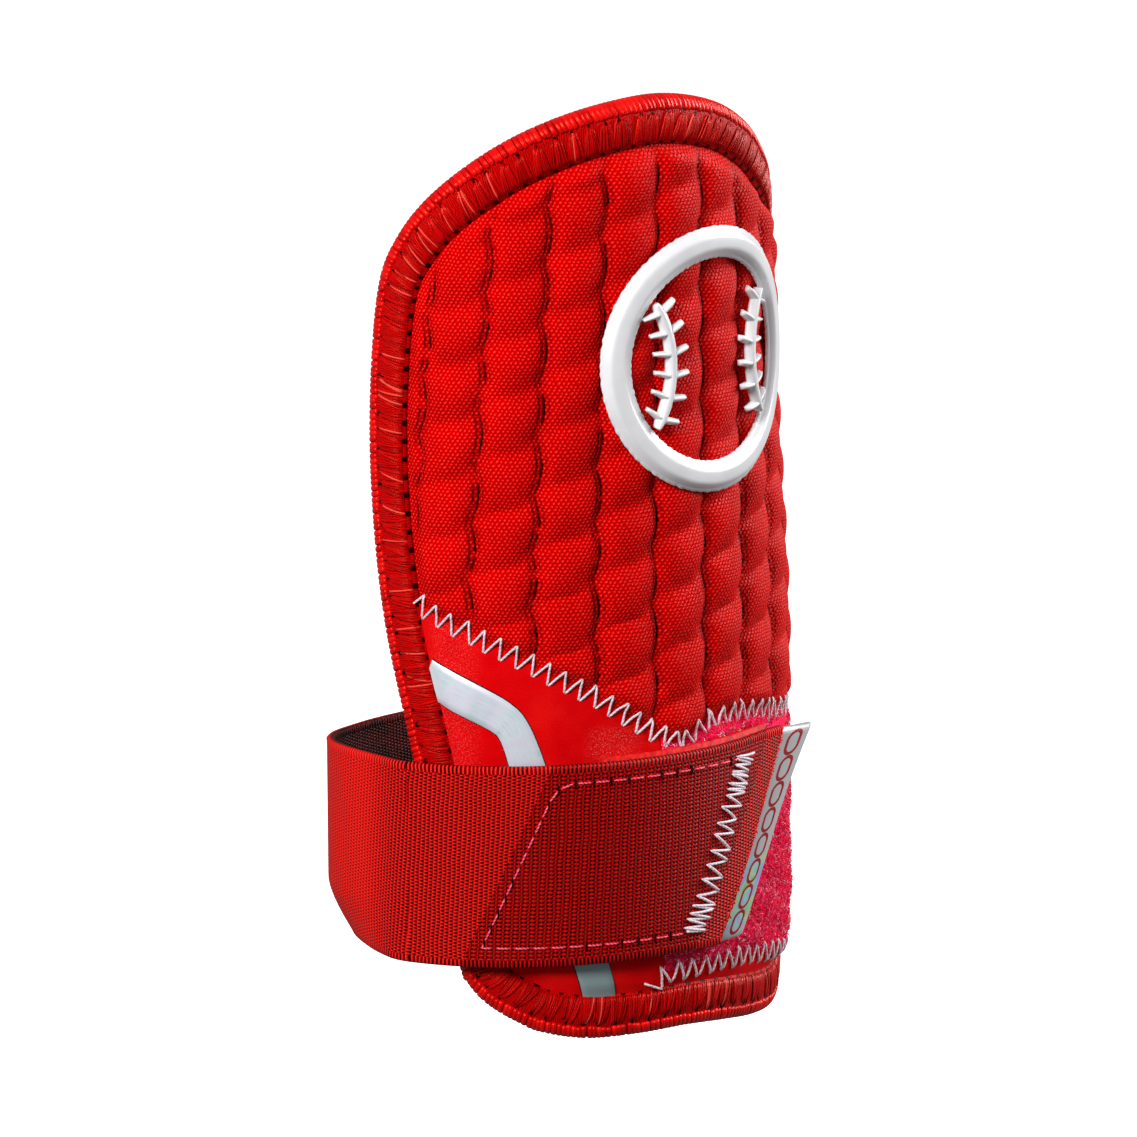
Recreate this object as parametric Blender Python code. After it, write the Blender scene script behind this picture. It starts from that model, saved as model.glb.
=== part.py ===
"""Batting hand protector: a curved, quilted guard held on the hand by one elastic strap.

The guard is drawn flat, as it is sewn, and then bent round a slightly tapered cylinder.
A place on it is (across, up, out): across is the length along the surface from the middle
of the curve, positive to the wearer's right; up is the height over the strap's middle; out
is the height over the crown of the edge binding. The front faces -Y.
"""

import bpy
import bmesh
import math
import numpy as np
from mathutils import Vector
from mathutils.geometry import delaunay_2d_cdt

# Form of the guard
GUARD_HEIGHT = 0.1794
GUARD_WIDTH = 0.1208
GUARD_MIDDLE = -0.0092
FOOT_DROP = 0.0384
BEND_RADIUS = 0.0491
BEND_TAPER = 0.020

# Layers of the guard
CLEARANCE = 0.0003
BINDING_REACH = 0.0086
BINDING_WALL = 0.0009
BINDING_CROWN = 0.0003
EDGE_THICKNESS = 0.0027
PAD_THICKNESS = 0.0055
SHOULDER_WIDTH = 0.0042
PANEL_THICKNESS = 0.0009
PILE_THICKNESS = 0.0014
FOIL_THICKNESS = 0.0003
FOIL_WIDTH = 0.0067

# Quilting
COLUMN_PITCH = 0.0118
COLUMN_START = -0.0010
CELL_LENGTH = 0.0106
QUILT_RELIEF = 0.0015
GROOVE_HEIGHT = 0.0011
PAD_SWELL = 0.0020
SWELL_RUN = 0.0260
SWELL_TOP = 0.0620
PILE_EDGE = -0.0120

# Raised badge
BADGE_RADIUS = 0.0240
BADGE_BAND = 0.0046
BADGE_THICKNESS = 0.0015
LACE_BAND = 0.0018
LACE_REACH = 0.0036
LACE_COUNT = 6

# Strap
STRAP_WIDTH = 0.0380
STRAP_THICKNESS = 0.0017
STRAP_RISE = 0.0006
STRAP_DIP = 0.0012
STRAP_SLANT = 0.67
STRAP_END = 0.0110
SLANT_FADE = 0.0400
STRAP_LIFT_FROM = 0.0100
STRAP_LEAVES = -0.0600
STRAP_SEWN_AT = 0.0470
LOOP_WIDTH = 0.0885
LOOP_DEPTH = 0.0675
LOOP_LEAN = 0.0050
SEWN_LENGTH = 0.0130
HOOK_THICKNESS = 0.0009
HOOK_PEEK = 0.0007
HOOK_INSET = 0.0006
HOOK_START = -0.0350
TAB_WIDTH = 0.0070
TAB_MARGIN = 0.0026
TAB_INSET = 0.0006
TAB_THICKNESS = 0.0021
TAB_BEVEL = 0.0006

# Levels of the layers, stacked from the crown of the binding
PAD_FACE = -(BINDING_WALL + BINDING_CROWN + CLEARANCE)
PAD_BACK = PAD_FACE - PAD_THICKNESS
PANEL_BACK = PAD_FACE + CLEARANCE
PANEL_FACE = PANEL_BACK + PANEL_THICKNESS
PILE_FACE = PANEL_BACK + PILE_THICKNESS
FOIL_BACK = PANEL_FACE + CLEARANCE
FOIL_FACE = FOIL_BACK + FOIL_THICKNESS
GROOVE_FACE = PAD_FACE + GROOVE_HEIGHT
CREST_FACE = GROOVE_FACE + QUILT_RELIEF
BADGE_BACK = CREST_FACE + CLEARANCE
BADGE_FACE = BADGE_BACK + BADGE_THICKNESS
HOOK_BACK = max(PILE_FACE, FOIL_FACE) + CLEARANCE
HOOK_FACE = HOOK_BACK + HOOK_THICKNESS
STRAP_BACK = HOOK_FACE + CLEARANCE
STRAP_FACE = STRAP_BACK + STRAP_THICKNESS
TAB_BACK = STRAP_BACK - CLEARANCE - HOOK_THICKNESS

# Fineness of the meshes
OUTLINE_POINTS = 84
SEAM_POINTS = 34
FOOT_SEAM_POINTS = 14
FACE_RINGS = 15
LOOP_RINGS = 38
SEWN_RINGS = 4
BADGE_SIDES = 48
GRID = 0.0060
GRID_MARGIN = 0.0015

# Outline as shares: across from the middle in half widths, up from the foot in heights
OUTLINE_SHARES = [
    (0.01, 1.000), (-0.20, 0.993), (-0.40, 0.974), (-0.58, 0.945), (-0.76, 0.902), (-0.88, 0.858),
    (-0.95, 0.811), (-0.987, 0.730), (-1.00, 0.632), (-0.983, 0.530), (-0.945, 0.443),
    (-0.876, 0.345), (-0.795, 0.222), (-0.714, 0.103), (-0.688, 0.084), (-0.650, 0.069),
    (-0.598, 0.056), (-0.532, 0.044), (-0.457, 0.033), (-0.31, 0.024), (-0.12, 0.023), (0.054, 0.0225),
    (0.237, 0.0156), (0.42, 0.006), (0.602, 0.000), (0.72, 0.008), (0.815, 0.036), (0.875, 0.085),
    (0.912, 0.165), (0.945, 0.270), (0.978, 0.420), (0.998, 0.570), (0.998, 0.680), (0.975, 0.765),
    (0.925, 0.828), (0.84, 0.872), (0.71, 0.905), (0.56, 0.934), (0.42, 0.962), (0.23, 0.988),
]

# Middle of the badge, seam under the quilting and seam over the foot, in the same shares
BADGE_PLACE = (0.161, 0.727)
UPPER_SEAM_SHARES = [
    (-0.990, 0.519), (-0.839, 0.485), (-0.55, 0.438), (-0.268, 0.387), (-0.12, 0.354), (0.005, 0.331),
    (0.08, 0.337), (0.17, 0.347), (0.35, 0.345), (0.67, 0.326), (1.02, 0.314),
]
LOWER_SEAM_SHARES = [
    (-0.055, 0.0840), (0.02, 0.0860), (0.208, 0.0842), (0.352, 0.0792), (0.554, 0.0669),
    (0.755, 0.0557), (1.00, 0.0420),
]

# Middle line of the foil stripe in the same shares, with its width as a share of the full one
FOIL_SHARES = [
    (-0.770, 0.402, 1.10), (-0.620, 0.380, 1.05), (-0.553, 0.367, 1.00), (-0.523, 0.355, 0.96),
    (-0.500, 0.336, 0.98), (-0.475, 0.308, 1.02), (-0.384, 0.206, 1.00), (-0.292, 0.1014, 1.00),
    (-0.268, 0.0700, 0.98),
]

# Free part of the strap seen from above, in shares of the loop's width and depth, from the
# left edge of the guard round the palm side to its right edge
LOOP_SHARES = [
    (-0.552, -0.155), (-0.540, 0.000), (-0.508, 0.105), (-0.438, 0.190), (-0.317, 0.232),
    (-0.170, 0.238), (0.000, 0.232), (0.170, 0.216), (0.310, 0.176), (0.405, 0.098), (0.452, 0.000),
    (0.452, -0.110),
]


def flat_points(shares):
    """Turn rows of shares into flat places: across from the middle line, up from the foot."""
    table = np.array(shares, dtype=float)
    across = GUARD_MIDDLE + table[:, 0] * GUARD_WIDTH / 2
    up = -FOOT_DROP + table[:, 1] * GUARD_HEIGHT
    return np.column_stack([across, up])


def bent(across, up, out):
    """Bend flat places round the guard: radius r(up) = BEND_RADIUS - BEND_TAPER * up."""
    radius = BEND_RADIUS - BEND_TAPER * up
    angle = across / radius
    reach = radius + out
    return np.column_stack([reach * np.sin(angle), -reach * np.cos(angle), up + 0 * reach])


def smooth_curve(points, count, closed, beyond=None):
    """Catmull-Rom curve through the points, read off at equal steps of length.

    The two places beyond its ends set the directions there.
    """
    points = np.asarray(points, dtype=float)
    if closed:
        ring = np.vstack([points[-1:], points, points[:2]])
    elif beyond is not None:
        ring = np.vstack([beyond[:1], points, beyond[1:]])
    else:
        ring = np.vstack([2 * points[0] - points[1], points, 2 * points[-1] - points[-2]])
    t = np.linspace(0, 1, 24, endpoint=False)[:, None]
    parts = []
    for a, b, c, d in zip(ring[:-3], ring[1:-2], ring[2:-1], ring[3:]):
        parts.append(0.5 * (2 * b + (c - a) * t + (2 * a - 5 * b + 4 * c - d) * t ** 2
                            + (3 * b - a - 3 * c + d) * t ** 3))
    dense = np.vstack(parts + [ring[-2:-1]])
    length = np.concatenate([[0], np.cumsum(np.linalg.norm(np.diff(dense, axis=0), axis=1))])
    stops = np.linspace(0, length[-1], count + 1 if closed else count)
    if closed:
        stops = stops[:-1]
    return np.column_stack([np.interp(stops, length, dense[:, k]) for k in range(dense.shape[1])])


def inset(loop, depth):
    """Move a counter-clockwise loop inwards along the mean of its two edge normals."""
    edge = np.roll(loop, -1, axis=0) - loop
    normal = np.column_stack([-edge[:, 1], edge[:, 0]]) / np.linalg.norm(edge, axis=1)[:, None]
    mean = normal + np.roll(normal, 1, axis=0)
    mean /= np.linalg.norm(mean, axis=1)[:, None]
    return loop + mean * depth


def distance(points, path, closed=False):
    """Shortest distance from each point to a path."""
    start = path if closed else path[:-1]
    end = np.roll(path, -1, axis=0) if closed else path[1:]
    along = end - start
    offset = points[:, None] - start[None]
    share = np.clip((offset * along).sum(2) / (along ** 2).sum(1), 0, 1)
    return np.linalg.norm(offset - share[..., None] * along, axis=2).min(axis=1)


def inside(points, loop):
    """True where a point lies within the loop, by the crossings of a ray."""
    x, y = points[:, 0:1], points[:, 1:2]
    x1, y1 = loop.T
    x2, y2 = np.roll(loop, -1, axis=0).T
    rise = np.where(y2 == y1, 1e-12, y2 - y1)
    crossing = ((y1 > y) != (y2 > y)) & (x < x1 + (y - y1) * (x2 - x1) / rise)
    return crossing.sum(axis=1) % 2 == 1


def ease(value, start, end):
    """Smooth step from 0 at start to 1 at end."""
    t = np.clip((value - start) / (end - start), 0, 1)
    return t * t * (3 - 2 * t)


def grid_points(loop, step_across, step_up, margin, offset=0.0):
    """Places of a grid inside a loop, at least margin away from it."""
    low, high = loop.min(axis=0), loop.max(axis=0)
    first = math.ceil((low[0] - offset) / step_across)
    last = math.floor((high[0] - offset) / step_across)
    across = offset + step_across * np.arange(first, last + 1)
    up = step_up * np.arange(math.ceil(low[1] / step_up), math.floor(high[1] / step_up) + 1)
    points = np.stack(np.meshgrid(across, up), axis=-1).reshape(-1, 2)
    points = points[inside(points, loop)]
    return points[distance(points, loop, closed=True) > margin]


def plain_material(name, colour, roughness, metallic=0.0):
    """Principled material from an sRGB colour."""
    material = bpy.data.materials.new(name)
    material.use_nodes = True
    linear = [(c / 255) ** 2.2 for c in colour]
    shader = material.node_tree.nodes["Principled BSDF"]
    shader.inputs["Base Color"].default_value = (*linear, 1.0)
    shader.inputs["Roughness"].default_value = roughness
    shader.inputs["Metallic"].default_value = metallic
    material.diffuse_color = (*linear, 1.0)
    return material


def add_solid(name, vertices, faces, material):
    """Make one closed object with its faces pointing out."""
    mesh = bpy.data.meshes.new(name)
    mesh.from_pydata([tuple(v) for v in vertices], [], faces)
    shape = bmesh.new()
    shape.from_mesh(mesh)
    bmesh.ops.recalc_face_normals(shape, faces=shape.faces)
    bmesh.ops.triangulate(shape, faces=[f for f in shape.faces if len(f.verts) > 4])
    shape.to_mesh(mesh)
    shape.free()
    mesh.shade_smooth()
    mesh.set_sharp_from_angle(angle=math.radians(40))
    mesh.materials.append(material)
    solid = bpy.data.objects.new(name, mesh)
    bpy.context.scene.collection.objects.link(solid)
    return solid


def filled(loop, inner, fold=None):
    """Triangles over a loop, using the inner places, and keeping an edge along a fold."""
    places = [loop, inner] if fold is None else [loop, inner, fold]
    points = np.vstack(places)
    edges = [(i, (i + 1) % len(loop)) for i in range(len(loop))]
    if fold is not None:
        start = len(loop) + len(inner)
        edges += [(start + i, start + i + 1) for i in range(len(fold) - 1)]
    result = delaunay_2d_cdt([Vector(p) for p in points], edges, [list(range(len(loop)))], 1, 1e-9)
    if len(result[0]) != len(points):
        raise ValueError("an outline crosses itself or leaves its loop")
    return points, result[2]


def sheet(name, loop, face, back, material, inner=None, fold=None, inner_back=None):
    """Closed sheet over a flat loop, with its face and back at the given levels, then bent."""
    inner = grid_points(loop, GRID, GRID, GRID / 2) if inner is None else inner
    inner_back = inner if inner_back is None else inner_back
    front, front_faces = filled(loop, inner, fold)
    rear, rear_faces = filled(loop, inner_back)
    count = len(loop)
    start = len(front)
    vertices = np.vstack([bent(front[:, 0], front[:, 1], face(front)),
                          bent(rear[:, 0], rear[:, 1], back(rear))])
    faces = [list(f) for f in front_faces]
    faces += [[start + i for i in reversed(f)] for f in rear_faces]
    faces += [[(i + 1) % count, i, start + i, start + (i + 1) % count] for i in range(count)]
    return add_solid(name, vertices, faces, material)


def flat_level(level):
    """Level function of a sheet face that follows the bend."""
    return lambda points: np.full(len(points), level)


def swollen_level(level):
    """Level function of a sheet face that follows the swell of the pad under it."""
    return lambda points: level + edge_fade(points) * swell(points)


def swept(name, rings, material, closed):
    """Skin a list of equal rings of places, joined end to end or capped."""
    count = len(rings[0])
    vertices = np.vstack(rings)
    total = len(rings)
    faces = []
    for k in range(total if closed else total - 1):
        a, b = k * count, ((k + 1) % total) * count
        faces += [[a + i, a + (i + 1) % count, b + (i + 1) % count, b + i] for i in range(count)]
    if not closed:
        faces.append(list(range(count))[::-1])
        faces.append([(total - 1) * count + i for i in range(count)])
    return add_solid(name, vertices, faces, material)


GUARD_OUTLINE = smooth_curve(flat_points(OUTLINE_SHARES), OUTLINE_POINTS, closed=True)
UPPER_SEAM = smooth_curve(flat_points(UPPER_SEAM_SHARES), SEAM_POINTS, closed=False)
LOWER_SEAM = smooth_curve(flat_points(LOWER_SEAM_SHARES), FOOT_SEAM_POINTS, closed=False)
FIELD = inset(GUARD_OUTLINE, BINDING_REACH + CLEARANCE)


def over_seam(points):
    """Height of each place over the upper seam."""
    return points[:, 1] - np.interp(points[:, 0], UPPER_SEAM[:, 0], UPPER_SEAM[:, 1])


def quilt(points):
    """Level of the quilting: full rounded cells in wavy columns.

    A column's crest is |sin(pi * column)| ** 0.6, and each cell adds a wave up the column that
    runs half a cell later on every second column and leans across it.
    """
    across, up = points.T
    narrowing = 1 - 0.13 * np.clip((up / GUARD_HEIGHT - 0.28) / 0.42, 0, 1)
    column = (across - COLUMN_START) / (COLUMN_PITCH * narrowing)
    step = np.floor(column)
    crest = np.abs(np.sin(np.pi * column)) ** 0.6
    phase = up / CELL_LENGTH + 0.5 * (step % 2) + 0.22 * (column - step)
    cell = 0.80 + 0.20 * np.sin(2 * np.pi * phase)
    return GROOVE_FACE + QUILT_RELIEF * crest * cell


def pad_face(points):
    """Face of the pad: pressed flat under binding and panels, full under the quilting."""
    edge = edge_fade(points)
    full = edge * ease(over_seam(points), 0.0, SHOULDER_WIDTH)
    return PAD_FACE + full * (quilt(points) - PAD_FACE) + edge * swell(points)


def pad_back(points):
    """Back of the pad: thin where the binding grips it, full inside."""
    depth = distance(points, GUARD_OUTLINE, closed=True)
    edge = BINDING_REACH + CLEARANCE
    full = ease(depth, edge, edge + 1.5 * SHOULDER_WIDTH)
    return PAD_FACE - EDGE_THICKNESS - full * (PAD_THICKNESS - EDGE_THICKNESS)


def make_pad():
    """Quilted padded shell, one piece from edge to edge."""
    rim = inset(GUARD_OUTLINE, BINDING_WALL + CLEARANCE)
    shoulder = inset(GUARD_OUTLINE, BINDING_REACH + CLEARANCE)
    fine = grid_points(shoulder, COLUMN_PITCH / 4, CELL_LENGTH / 4, GRID_MARGIN, COLUMN_START)
    fine = fine[over_seam(fine) > GRID_MARGIN]
    coarse = grid_points(shoulder, GRID, GRID, GRID / 2)
    coarse = coarse[over_seam(coarse) < -GRID / 2]
    fold = UPPER_SEAM[inside(UPPER_SEAM, inset(GUARD_OUTLINE, BINDING_REACH + GRID_MARGIN))]
    behind = grid_points(shoulder, GRID, 1.5 * GRID, GRID / 2)
    knit = plain_material("quilted red knit", (214, 8, 8), 0.85)
    sheet("pad_shell", rim, pad_face, pad_back, knit,
          inner=np.vstack([shoulder, fine, coarse]), fold=fold,
          inner_back=np.vstack([shoulder, behind]))


def make_binding():
    """Stitched binding that wraps the rim of the pad all the way round."""
    inner_face = PAD_FACE + CLEARANCE
    inner_back = PAD_FACE - EDGE_THICKNESS - CLEARANCE
    outer_back = inner_back - BINDING_WALL
    low_face = inner_face + BINDING_WALL
    profile = [
        (BINDING_REACH, inner_face), (BINDING_REACH, low_face), (0.60 * BINDING_REACH, 0.0),
        (0.22 * BINDING_REACH, -0.5 * BINDING_CROWN), (0.0, PAD_FACE),
        (0.0, PAD_FACE - EDGE_THICKNESS), (0.22 * BINDING_REACH, outer_back),
        (BINDING_REACH, outer_back), (BINDING_REACH, inner_back),
        (BINDING_WALL, inner_back), (BINDING_WALL, inner_face),
    ]
    loops = [inset(GUARD_OUTLINE, depth) for depth, level in profile]
    columns = [bent(loop[:, 0], loop[:, 1], level) for loop, (depth, level) in zip(loops, profile)]
    rings = list(np.stack(columns, axis=1))
    swept("edge_binding", rings, plain_material("red edge thread", (200, 6, 6), 0.6), closed=True)


def field_run(start, end):
    """Part of the field's edge from the place nearest start, counter-clockwise to end."""
    first = int(np.argmin(np.linalg.norm(FIELD - start, axis=1)))
    last = int(np.argmin(np.linalg.norm(FIELD - end, axis=1)))
    count = (last - first) % len(FIELD)
    return FIELD[[(first + i) % len(FIELD) for i in range(count + 1)]]


def within_field(path):
    """Places of a path that lie clear of the field's edge."""
    keep = inside(path, FIELD)
    keep[keep] = distance(path[keep], FIELD, closed=True) > GRID_MARGIN
    return path[keep]


def make_panels():
    """Smooth panel on the left and along the foot, and the pile panel that the strap grips."""
    up_gap = np.array([0.0, CLEARANCE / 2])
    side_gap = np.array([CLEARANCE / 2, 0.0])
    upper = within_field(UPPER_SEAM - up_gap)
    lower = within_field(LOWER_SEAM)
    lower = lower[lower[:, 0] > PILE_EDGE + GRID / 3]
    left = upper[upper[:, 0] < PILE_EDGE - GRID / 3]
    right = upper[upper[:, 0] > PILE_EDGE + GRID / 3]
    top = [PILE_EDGE, np.interp(PILE_EDGE, upper[:, 0], upper[:, 1])]
    drop = np.linspace(top, [PILE_EDGE, lower[0, 1]], 8)
    foot_run = field_run(left[0], lower[-1])[1:-1]
    side_run = field_run(lower[-1], right[-1])[1:-1]
    smooth = np.vstack([foot_run, (lower - up_gap)[::-1], (drop - side_gap - up_gap)[::-1],
                        left[::-1]])
    pile = np.vstack([side_run, right[::-1], drop + side_gap + up_gap, lower + up_gap])
    sheet("lower_panel", smooth, swollen_level(PANEL_FACE), swollen_level(PANEL_BACK),
          plain_material("smooth red suede", (205, 0, 4), 0.75))
    sheet("loop_panel", pile, swollen_level(PILE_FACE), swollen_level(PANEL_BACK),
          plain_material("red loop pile", (214, 20, 60), 0.95))


def make_foil():
    """Heat-sealed silver stripe on the smooth panel."""
    line = smooth_curve([(*p, s[2]) for p, s in zip(flat_points(FOIL_SHARES), FOIL_SHARES)], 22, False)
    along = np.gradient(line[:, :2], axis=0)
    side = np.column_stack([-along[:, 1], along[:, 0]]) / np.linalg.norm(along, axis=1)[:, None]
    half = side * line[:, 2:] * FOIL_WIDTH / 2
    loop = np.vstack([line[:, :2] + half, (line[:, :2] - half)[::-1]])[::-1]
    sheet("foil_stripe", loop, flat_level(FOIL_FACE), flat_level(FOIL_BACK),
          plain_material("silver foil", (196, 204, 212), 0.25, 0.6))


def make_badge():
    """Raised white rubber badge: a ball drawn as a ring with two laced seams."""
    white = plain_material("white rubber", (238, 238, 240), 0.35)
    bevel = 0.25 * BADGE_BAND
    profile = [
        (0.0, BADGE_BACK), (0.0, BADGE_FACE - 0.5 * bevel), (bevel, BADGE_FACE),
        (BADGE_BAND - bevel, BADGE_FACE), (BADGE_BAND, BADGE_FACE - 0.5 * bevel),
        (BADGE_BAND, BADGE_BACK),
    ]
    middle = flat_points([BADGE_PLACE])[0]
    radius = np.array([BADGE_RADIUS - depth for depth, level in profile])
    level = np.array([level for depth, level in profile])
    rings = []
    for turn in np.linspace(0, 2 * np.pi, BADGE_SIDES, endpoint=False):
        across = middle[0] + radius * np.cos(turn)
        rings.append(bent(across, middle[1] + radius * np.sin(turn), level))
    swept("badge_ring", rings, white, closed=True)

    inner = BADGE_RADIUS - BADGE_BAND - 2 * CLEARANCE
    seam_radius = 0.90 * BADGE_RADIUS
    seam_centre = 1.34 * BADGE_RADIUS
    for name, side in (("badge_seam_left", -1), ("badge_seam_right", 1)):
        reach = inner - LACE_BAND
        limit = math.acos((seam_radius ** 2 + seam_centre ** 2 - reach ** 2)
                          / (2 * seam_radius * seam_centre))
        loop = laced_band(seam_radius, limit)
        loop[:, 0] = seam_centre - loop[:, 0]
        loop = loop * [side, 1] + middle
        if side > 0:
            loop = loop[::-1]
        sheet(name, loop, flat_level(BADGE_FACE), flat_level(BADGE_BACK), white,
              inner=np.zeros((0, 2)))


def laced_band(radius, limit):
    """Curved band with a row of lace teeth on both sides, as a flat loop round its centre."""
    half = LACE_BAND / 2
    pitch = 2 * limit / (LACE_COUNT + 0.6)
    outer, inner = [], []
    for k in range(LACE_COUNT):
        middle = pitch * (k - (LACE_COUNT - 1) / 2)
        for offset, tooth in ((-0.24, 0), (-0.16, 1), (0.16, 1), (0.24, 0)):
            angle = middle + offset * pitch
            outer.append((radius + half + tooth * (LACE_REACH - half), angle + tooth * 0.10 * pitch))
            inner.append((radius - half - tooth * (LACE_REACH - half), angle + tooth * 0.10 * pitch))
    outer = [(radius + half, -limit)] + outer + [(radius + half, limit)]
    inner = [(radius - half, -limit)] + inner + [(radius - half, limit)]
    return np.array([(r * math.cos(a), r * math.sin(a)) for r, a in outer + inner[::-1]])


def lift(across):
    """The strap's end leaves the bend along a straight line past STRAP_LIFT_FROM."""
    return np.maximum(across - STRAP_LIFT_FROM, 0) ** 2 / (2 * BEND_RADIUS)


def rise(across):
    """Height of the strap's middle: it climbs along the face and sinks again to its end."""
    face = ease(across, STRAP_LEAVES, 0.10 * STRAP_LEAVES)
    end = ease(across, 0.0, 0.60 * BEND_RADIUS)
    return STRAP_RISE * (face - 2.8 * end)


def swell(points):
    """Extra fullness of the pad on the right of the foot, where the strap's end lifts off."""
    across, up = points.T
    side = ease(across, STRAP_LIFT_FROM, STRAP_LIFT_FROM + SWELL_RUN)
    return PAD_SWELL * side * (1 - ease(up, 0.5 * SWELL_TOP, 1.5 * SWELL_TOP))


def edge_fade(points):
    """0 where the binding presses the pad, 1 where it is at its full thickness."""
    depth = distance(points, GUARD_OUTLINE, closed=True)
    edge = BINDING_REACH + CLEARANCE
    return ease(depth, edge, edge + SHOULDER_WIDTH)


def slanted(across, up):
    """Shift a place along the strap so that its end is cut on a slant, which fades along it."""
    return across + STRAP_SLANT * up * ease(across, STRAP_END - SLANT_FADE, STRAP_END)


def make_strap():
    """Elastic strap: over the face, round the palm side, and sewn inside the right edge."""
    half = STRAP_WIDTH / 2
    edge = 0.35 * STRAP_THICKNESS
    middle = (STRAP_BACK + STRAP_FACE) / 2
    thick = STRAP_THICKNESS / 2
    rows = [-half + edge, -half / 2, 0.0, half / 2, half - edge]
    profile = [(-half, thick - edge)] + [(row, thick) for row in rows] + [(half, thick - edge)]
    profile += [(half, -thick + edge)] + [(row, -thick) for row in rows[::-1]] + [(-half, -thick + edge)]
    up = np.array([p[0] for p in profile])
    out = np.array([p[1] for p in profile])

    rings = []
    for across in np.linspace(STRAP_END, STRAP_LEAVES, FACE_RINGS):
        place = slanted(across, up)
        rings.append(bent(place, up + rise(across), middle + lift(place) + out))

    sewn_level = PAD_BACK - 1.5 * CLEARANCE - thick
    ends = bent(np.array([STRAP_LEAVES, STRAP_SEWN_AT]), np.zeros(2), np.array([middle, sewn_level]))
    beyond = bent(np.array([0.8 * STRAP_LEAVES, 0.8 * STRAP_SEWN_AT]), np.zeros(2),
                  np.array([middle, sewn_level]))
    free = np.array(LOOP_SHARES) * [LOOP_WIDTH, LOOP_DEPTH]
    plan = smooth_curve(np.vstack([ends[:1, :2], free, ends[1:, :2]]), LOOP_RINGS, False, beyond[:, :2])
    along = np.gradient(plan, axis=0)
    side = np.column_stack([-along[:, 1], along[:, 0]]) / np.linalg.norm(along, axis=1)[:, None]
    share = np.linspace(0, 1, len(plan))
    cone = 1 - ease(share, 0.0, 0.15) + ease(share, 0.85, 1.0)
    lean = LOOP_LEAN * ease(share, 0.02, 0.20) * (1 - ease(share, 0.35, 0.6))
    dip = STRAP_DIP * ease(share, 0.10, 0.30) * (1 - ease(share, 0.75, 1.0))
    for k in range(1, len(plan) - 1):
        shift = -BEND_TAPER * up * cone[k] - lean[k] * np.clip(-1.8 * up / half - 0.8, 0, 1) ** 1.5
        flat = plan[k] + (out + shift)[:, None] * side[k]
        rings.append(np.column_stack([flat, up - dip[k]]))
    for across in np.linspace(STRAP_SEWN_AT, STRAP_SEWN_AT - SEWN_LENGTH, SEWN_RINGS):
        rings.append(bent(np.full(len(up), across), up, sewn_level + out))
    swept("strap", rings, plain_material("red woven elastic", (190, 6, 8), 0.8), closed=False)


def make_hook_patch():
    """Hook patch sewn under the strap's end, gripping the pile panel."""
    slope = math.hypot(1.0, STRAP_SLANT)
    rows = np.linspace(-STRAP_WIDTH / 2 + HOOK_INSET, STRAP_WIDTH / 2 + HOOK_PEEK, 6)
    up = np.concatenate([rows, rows[::-1]])
    level = np.repeat([HOOK_FACE, HOOK_BACK], len(rows))
    rings = []
    for across in np.linspace(HOOK_START, STRAP_END - TAB_MARGIN - 2 * CLEARANCE * slope, 10):
        place = across + STRAP_SLANT * up
        rings.append(bent(place, up + rise(across), level + lift(place)))
    swept("hook_patch", rings, plain_material("black-red hook tape", (70, 6, 8), 0.9), closed=False)


def make_tab():
    """Moulded pull tab held under the strap's slanted end."""
    slope = math.hypot(1.0, STRAP_SLANT)
    tongue = STRAP_END - TAB_MARGIN
    edge = STRAP_END + CLEARANCE * slope
    end = edge + TAB_WIDTH * slope
    face = TAB_BACK + TAB_THICKNESS
    profile = [
        (tongue, TAB_BACK), (tongue, STRAP_BACK - CLEARANCE), (edge, STRAP_BACK - CLEARANCE),
        (edge + TAB_BEVEL, face), (end - TAB_BEVEL, face), (end, face - TAB_BEVEL), (end, TAB_BACK),
    ]
    place = np.array([p[0] for p in profile])
    level = np.array([p[1] for p in profile])
    rings = []
    for up in np.linspace(-STRAP_WIDTH / 2 + TAB_INSET, STRAP_WIDTH / 2 - 2 * TAB_INSET, 12):
        across = place + STRAP_SLANT * up
        height = np.full(len(place), up) + rise(STRAP_END)
        rings.append(bent(across, height, level + lift(across)))
    swept("pull_tab", rings, plain_material("silver rubber", (178, 180, 182), 0.35, 0.2), closed=False)


for old in list(bpy.data.objects):
    bpy.data.objects.remove(old)
make_pad()
make_binding()
make_panels()
make_foil()
make_badge()
make_strap()
make_hook_patch()
make_tab()
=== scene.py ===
import math
import bpy
import numpy as np
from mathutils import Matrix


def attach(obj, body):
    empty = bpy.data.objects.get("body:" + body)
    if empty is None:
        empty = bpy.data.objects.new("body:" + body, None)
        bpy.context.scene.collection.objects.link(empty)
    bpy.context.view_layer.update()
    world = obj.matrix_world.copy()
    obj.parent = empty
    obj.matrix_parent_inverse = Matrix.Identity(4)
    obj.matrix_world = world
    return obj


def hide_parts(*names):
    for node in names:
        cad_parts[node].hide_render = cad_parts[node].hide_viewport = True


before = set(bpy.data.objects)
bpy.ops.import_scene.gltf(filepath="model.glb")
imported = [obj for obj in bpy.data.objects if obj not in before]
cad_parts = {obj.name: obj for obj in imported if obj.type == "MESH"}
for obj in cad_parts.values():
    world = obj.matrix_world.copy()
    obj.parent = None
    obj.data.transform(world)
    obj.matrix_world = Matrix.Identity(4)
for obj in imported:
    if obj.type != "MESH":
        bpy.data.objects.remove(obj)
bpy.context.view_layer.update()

# Quilted pad
# The body of the guard: foam under a ribbed red knit, quilted in wavy columns of full cells,
# with a thin lining behind. It is pressed thin along its rim, where the binding grips it.
MM = 0.001
GUARD_HEIGHT, GUARD_WIDTH, GUARD_MIDDLE, FOOT_DROP = 0.1794, 0.1208, -0.0092, 0.0384
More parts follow.
